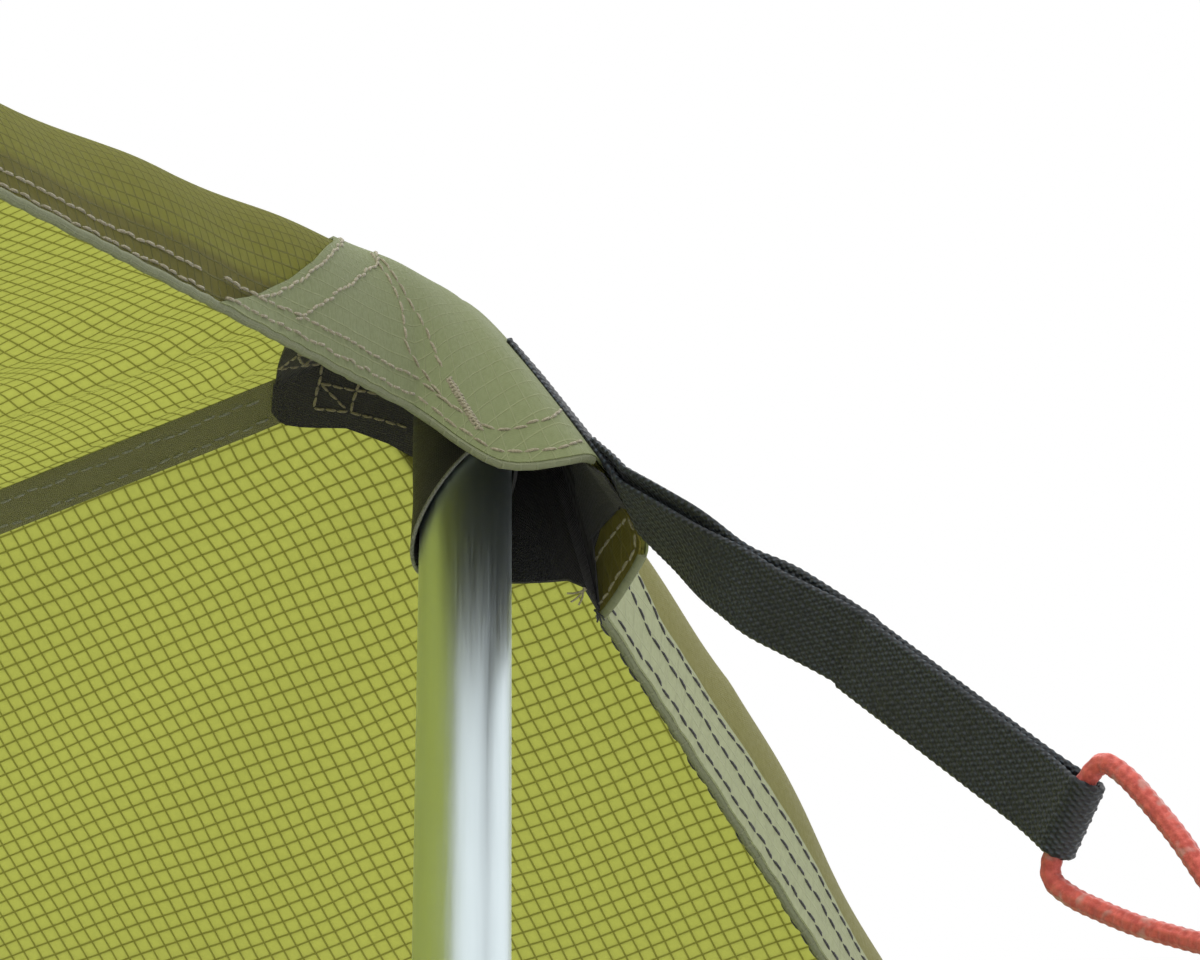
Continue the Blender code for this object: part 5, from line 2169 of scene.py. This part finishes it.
@dataclass
class Pole:
    """Finishes of the hard parts that the frame gives for one pole."""

    palette: Palette
    end: End
    sides: int = 128
    edge: float = 0.00015

    def round_tube(self) -> Piece:
        """Models the upper tube in the frame's own sizes, with more sides than the frame gives it.

        Returns:
            The dressed tube.
        """
        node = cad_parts[f"{self.end.word}_upper_tube"]
        points = np.array([node.matrix_world @ vertex.co for vertex in node.data.vertices])
        low, high = points.min(axis=0), points.max(axis=0)
        middle = (low + high) / 2
        reach = np.hypot(*(points - middle)[:, :2].T)
        Workshop.deselect()
        bpy.ops.mesh.primitive_cylinder_add(vertices=self.sides, radius=float(reach.max()),
                                            depth=float(high[2] - low[2]), end_fill_type="NOTHING",
                                            location=middle.tolist())
        piece = bpy.context.active_object
        piece.name = piece.data.name = f"{self.end.word}_round_tube"
        Workshop.choose(piece)
        bpy.ops.object.transform_apply(location=True, rotation=True, scale=True)
        Workshop.apply(piece, "SOLIDIFY", thickness=float(reach.max() - reach.min()), offset=-1.0)
        Workshop.apply(piece, "BEVEL", width=self.edge, segments=2, limit_method="ANGLE",
                       angle_limit=math.radians(60))
        Workshop.smooth(piece)
        LOG.info("%s: radii %.5f and %.5f", piece.name, reach.max(), reach.min())
        return Workshop.dress(piece, self.palette.tube, "pole_tube", Body.UPPER.at(self.end), node.name)

    def build(self) -> None:
        """Rounds the upper tube and gives each other node of the pole its finish."""
        self.round_tube()
        finishes = {"lower_tube": self.palette.tube,
                    "tip_plug": self.palette.plastic, "guide_bush": self.palette.plastic,
                    "clamp_collar": self.palette.plastic, "clamp_lever": self.palette.lever,
                    "clamp_pin": self.palette.pin, "foot": self.palette.rubber}
        for words, material in finishes.items():
            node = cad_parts[f"{self.end.word}_{words}"]
            node.data.materials.clear()
            node.data.materials.append(material)
            LOG.info("%s: %s", node.name, material.name)


@dataclass
class Studio:
    """Camera, floor, world and lamps."""

    eye: Vector = field(default_factory=lambda: Vector((1.7768, -0.6357, 0.4108)))
    azimuth: float = 28.502
    elevation: float = -39.956
    roll: float = -0.872
    lens: float = 139.536
    sensor: float = 36.0
    floor_size: float = 60.0

    def camera(self) -> None:
        """Places the camera at the photograph's view."""
        turn, rise, roll = (math.radians(value) for value in (self.azimuth, self.elevation, self.roll))
        back = Vector((math.sin(turn) * math.cos(rise), -math.cos(turn) * math.cos(rise), math.sin(rise)))
        level = Vector((math.cos(turn), math.sin(turn), 0.0))
        above = back.cross(level)
        right = math.cos(roll) * level + math.sin(roll) * above
        up = math.cos(roll) * above - math.sin(roll) * level
        data = bpy.data.cameras.new("camera")
        data.lens = self.lens
        data.sensor_width = self.sensor
        data.clip_start = 0.01
        data.clip_end = 200.0
        camera = bpy.data.objects.new("camera", data)
        bpy.context.scene.collection.objects.link(camera)
        turned = Matrix((right, up, back)).transposed().to_4x4()
        camera.matrix_world = Matrix.Translation(self.eye) @ turned
        bpy.context.scene.camera = camera

    def floor(self) -> None:
        """Lays a plain pale floor."""
        Workshop.deselect()
        bpy.ops.mesh.primitive_plane_add(size=self.floor_size, location=(0, 0, -0.0005))
        plane = bpy.context.active_object
        plane.name = "floor"
        bench = Bench("pale_floor")
        bench.surface({"Base Color": (0.80, 0.80, 0.80), "Roughness": 0.9})
        plane.data.materials.append(bench.material)
        plane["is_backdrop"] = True

    def world(self, light: float) -> None:
        """Surrounds the object with soft light and a white background.

        Args:
            light: Strength with which the world lights the object.
        """
        world = bpy.data.worlds.new("studio")
        bpy.context.scene.world = world
        world.use_nodes = True
        tree = world.node_tree
        background = tree.nodes["Background"]
        background.inputs["Color"].default_value = (1.0, 1.0, 1.0, 1.0)
        path = tree.nodes.new("ShaderNodeLightPath")
        seen = path.outputs["Is Camera Ray"]
        for name in ("Is Glossy Ray", "Is Transmission Ray"):
            higher = tree.nodes.new("ShaderNodeMath")
            higher.operation = "MAXIMUM"
            tree.links.new(seen, higher.inputs[0])
            tree.links.new(path.outputs[name], higher.inputs[1])
            seen = higher.outputs[0]
        strength = tree.nodes.new("ShaderNodeMapRange")
        tree.links.new(seen, strength.inputs["Value"])
        strength.inputs["To Min"].default_value = light
        strength.inputs["To Max"].default_value = 1.0
        tree.links.new(strength.outputs[0], background.inputs["Strength"])

    def lamp(self, name: str, place: tuple[float, float, float], aim: tuple[float, float, float],
             size: float, power: float) -> None:
        """Hangs a square soft lamp.

        Args:
            name: Name of the lamp.
            place: Where it hangs.
            aim: What it points at.
            size: Its width.
            power: Its power in watts.
        """
        data = bpy.data.lights.new(name, "AREA")
        data.shape = "SQUARE"
        data.size = size
        data.energy = power
        lamp = bpy.data.objects.new(name, data)
        bpy.context.scene.collection.objects.link(lamp)
        lamp.visible_glossy = False
        lamp.location = place
        lamp.rotation_mode = "QUATERNION"
        lamp.rotation_quaternion = (Vector(aim) - Vector(place)).to_track_quat("-Z", "Y")

    def build(self) -> None:
        """Sets up the whole studio."""
        self.camera()
        self.floor()
        self.world(0.72)
        self.lamp("key", (2.2, -2.6, 4.2), (1.2, 0.0, 0.9), 2.4, 115.0)
        self.lamp("top", (0.4, 0.8, 4.6), (1.0, 0.0, 0.9), 3.0, 170.0)
        bpy.context.scene.view_settings.view_transform = "Standard"


def main() -> None:
    """Builds the studio and every piece of the tarp, cords first."""
    logging.basicConfig(level=logging.INFO, format="%(name)s: %(message)s")
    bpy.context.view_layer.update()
    Studio().build()
    shape, palette = ClothShape(), Palette()
    stitching = Stitching(shape)
    for end in End:
        Strap(shape, palette, stitching, end).build()
    Canopy(shape, palette).build()
    SewnThread(shape, palette, stitching).build()
    for end in End:
        Peak(shape, palette, stitching, end).build()
        Pole(palette, end).build()
        for side in Side:
            Corner(shape, palette, stitching, end, side).build()
            corner = shape.plain(np.array([1.0]), np.array([side.value * shape.half_width]))[0]
            PegLoop(palette, f"{end.word}_{side.word}_loop", f"{end.word}_{side.word}_peg_loop").build(
                Vector((end.value * corner[0], corner[1], 0)), math.atan2(side.value, end.value),
                corner[2] - LOOP_ROOM)
    for side in Side:
        middle = shape.plain(np.array([-shape.pole_x]), np.array([side.value * shape.half_width]))[0]
        PegLoop(palette, f"{side.word}_side_loop", f"{side.word}_side_peg_loop").build(
            Vector((0, middle[1], 0)), side.value * math.pi / 2, middle[2] - 0.0008)
    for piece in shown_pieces():
        piece.select_set(False)


if __name__ == "__main__":
    main()
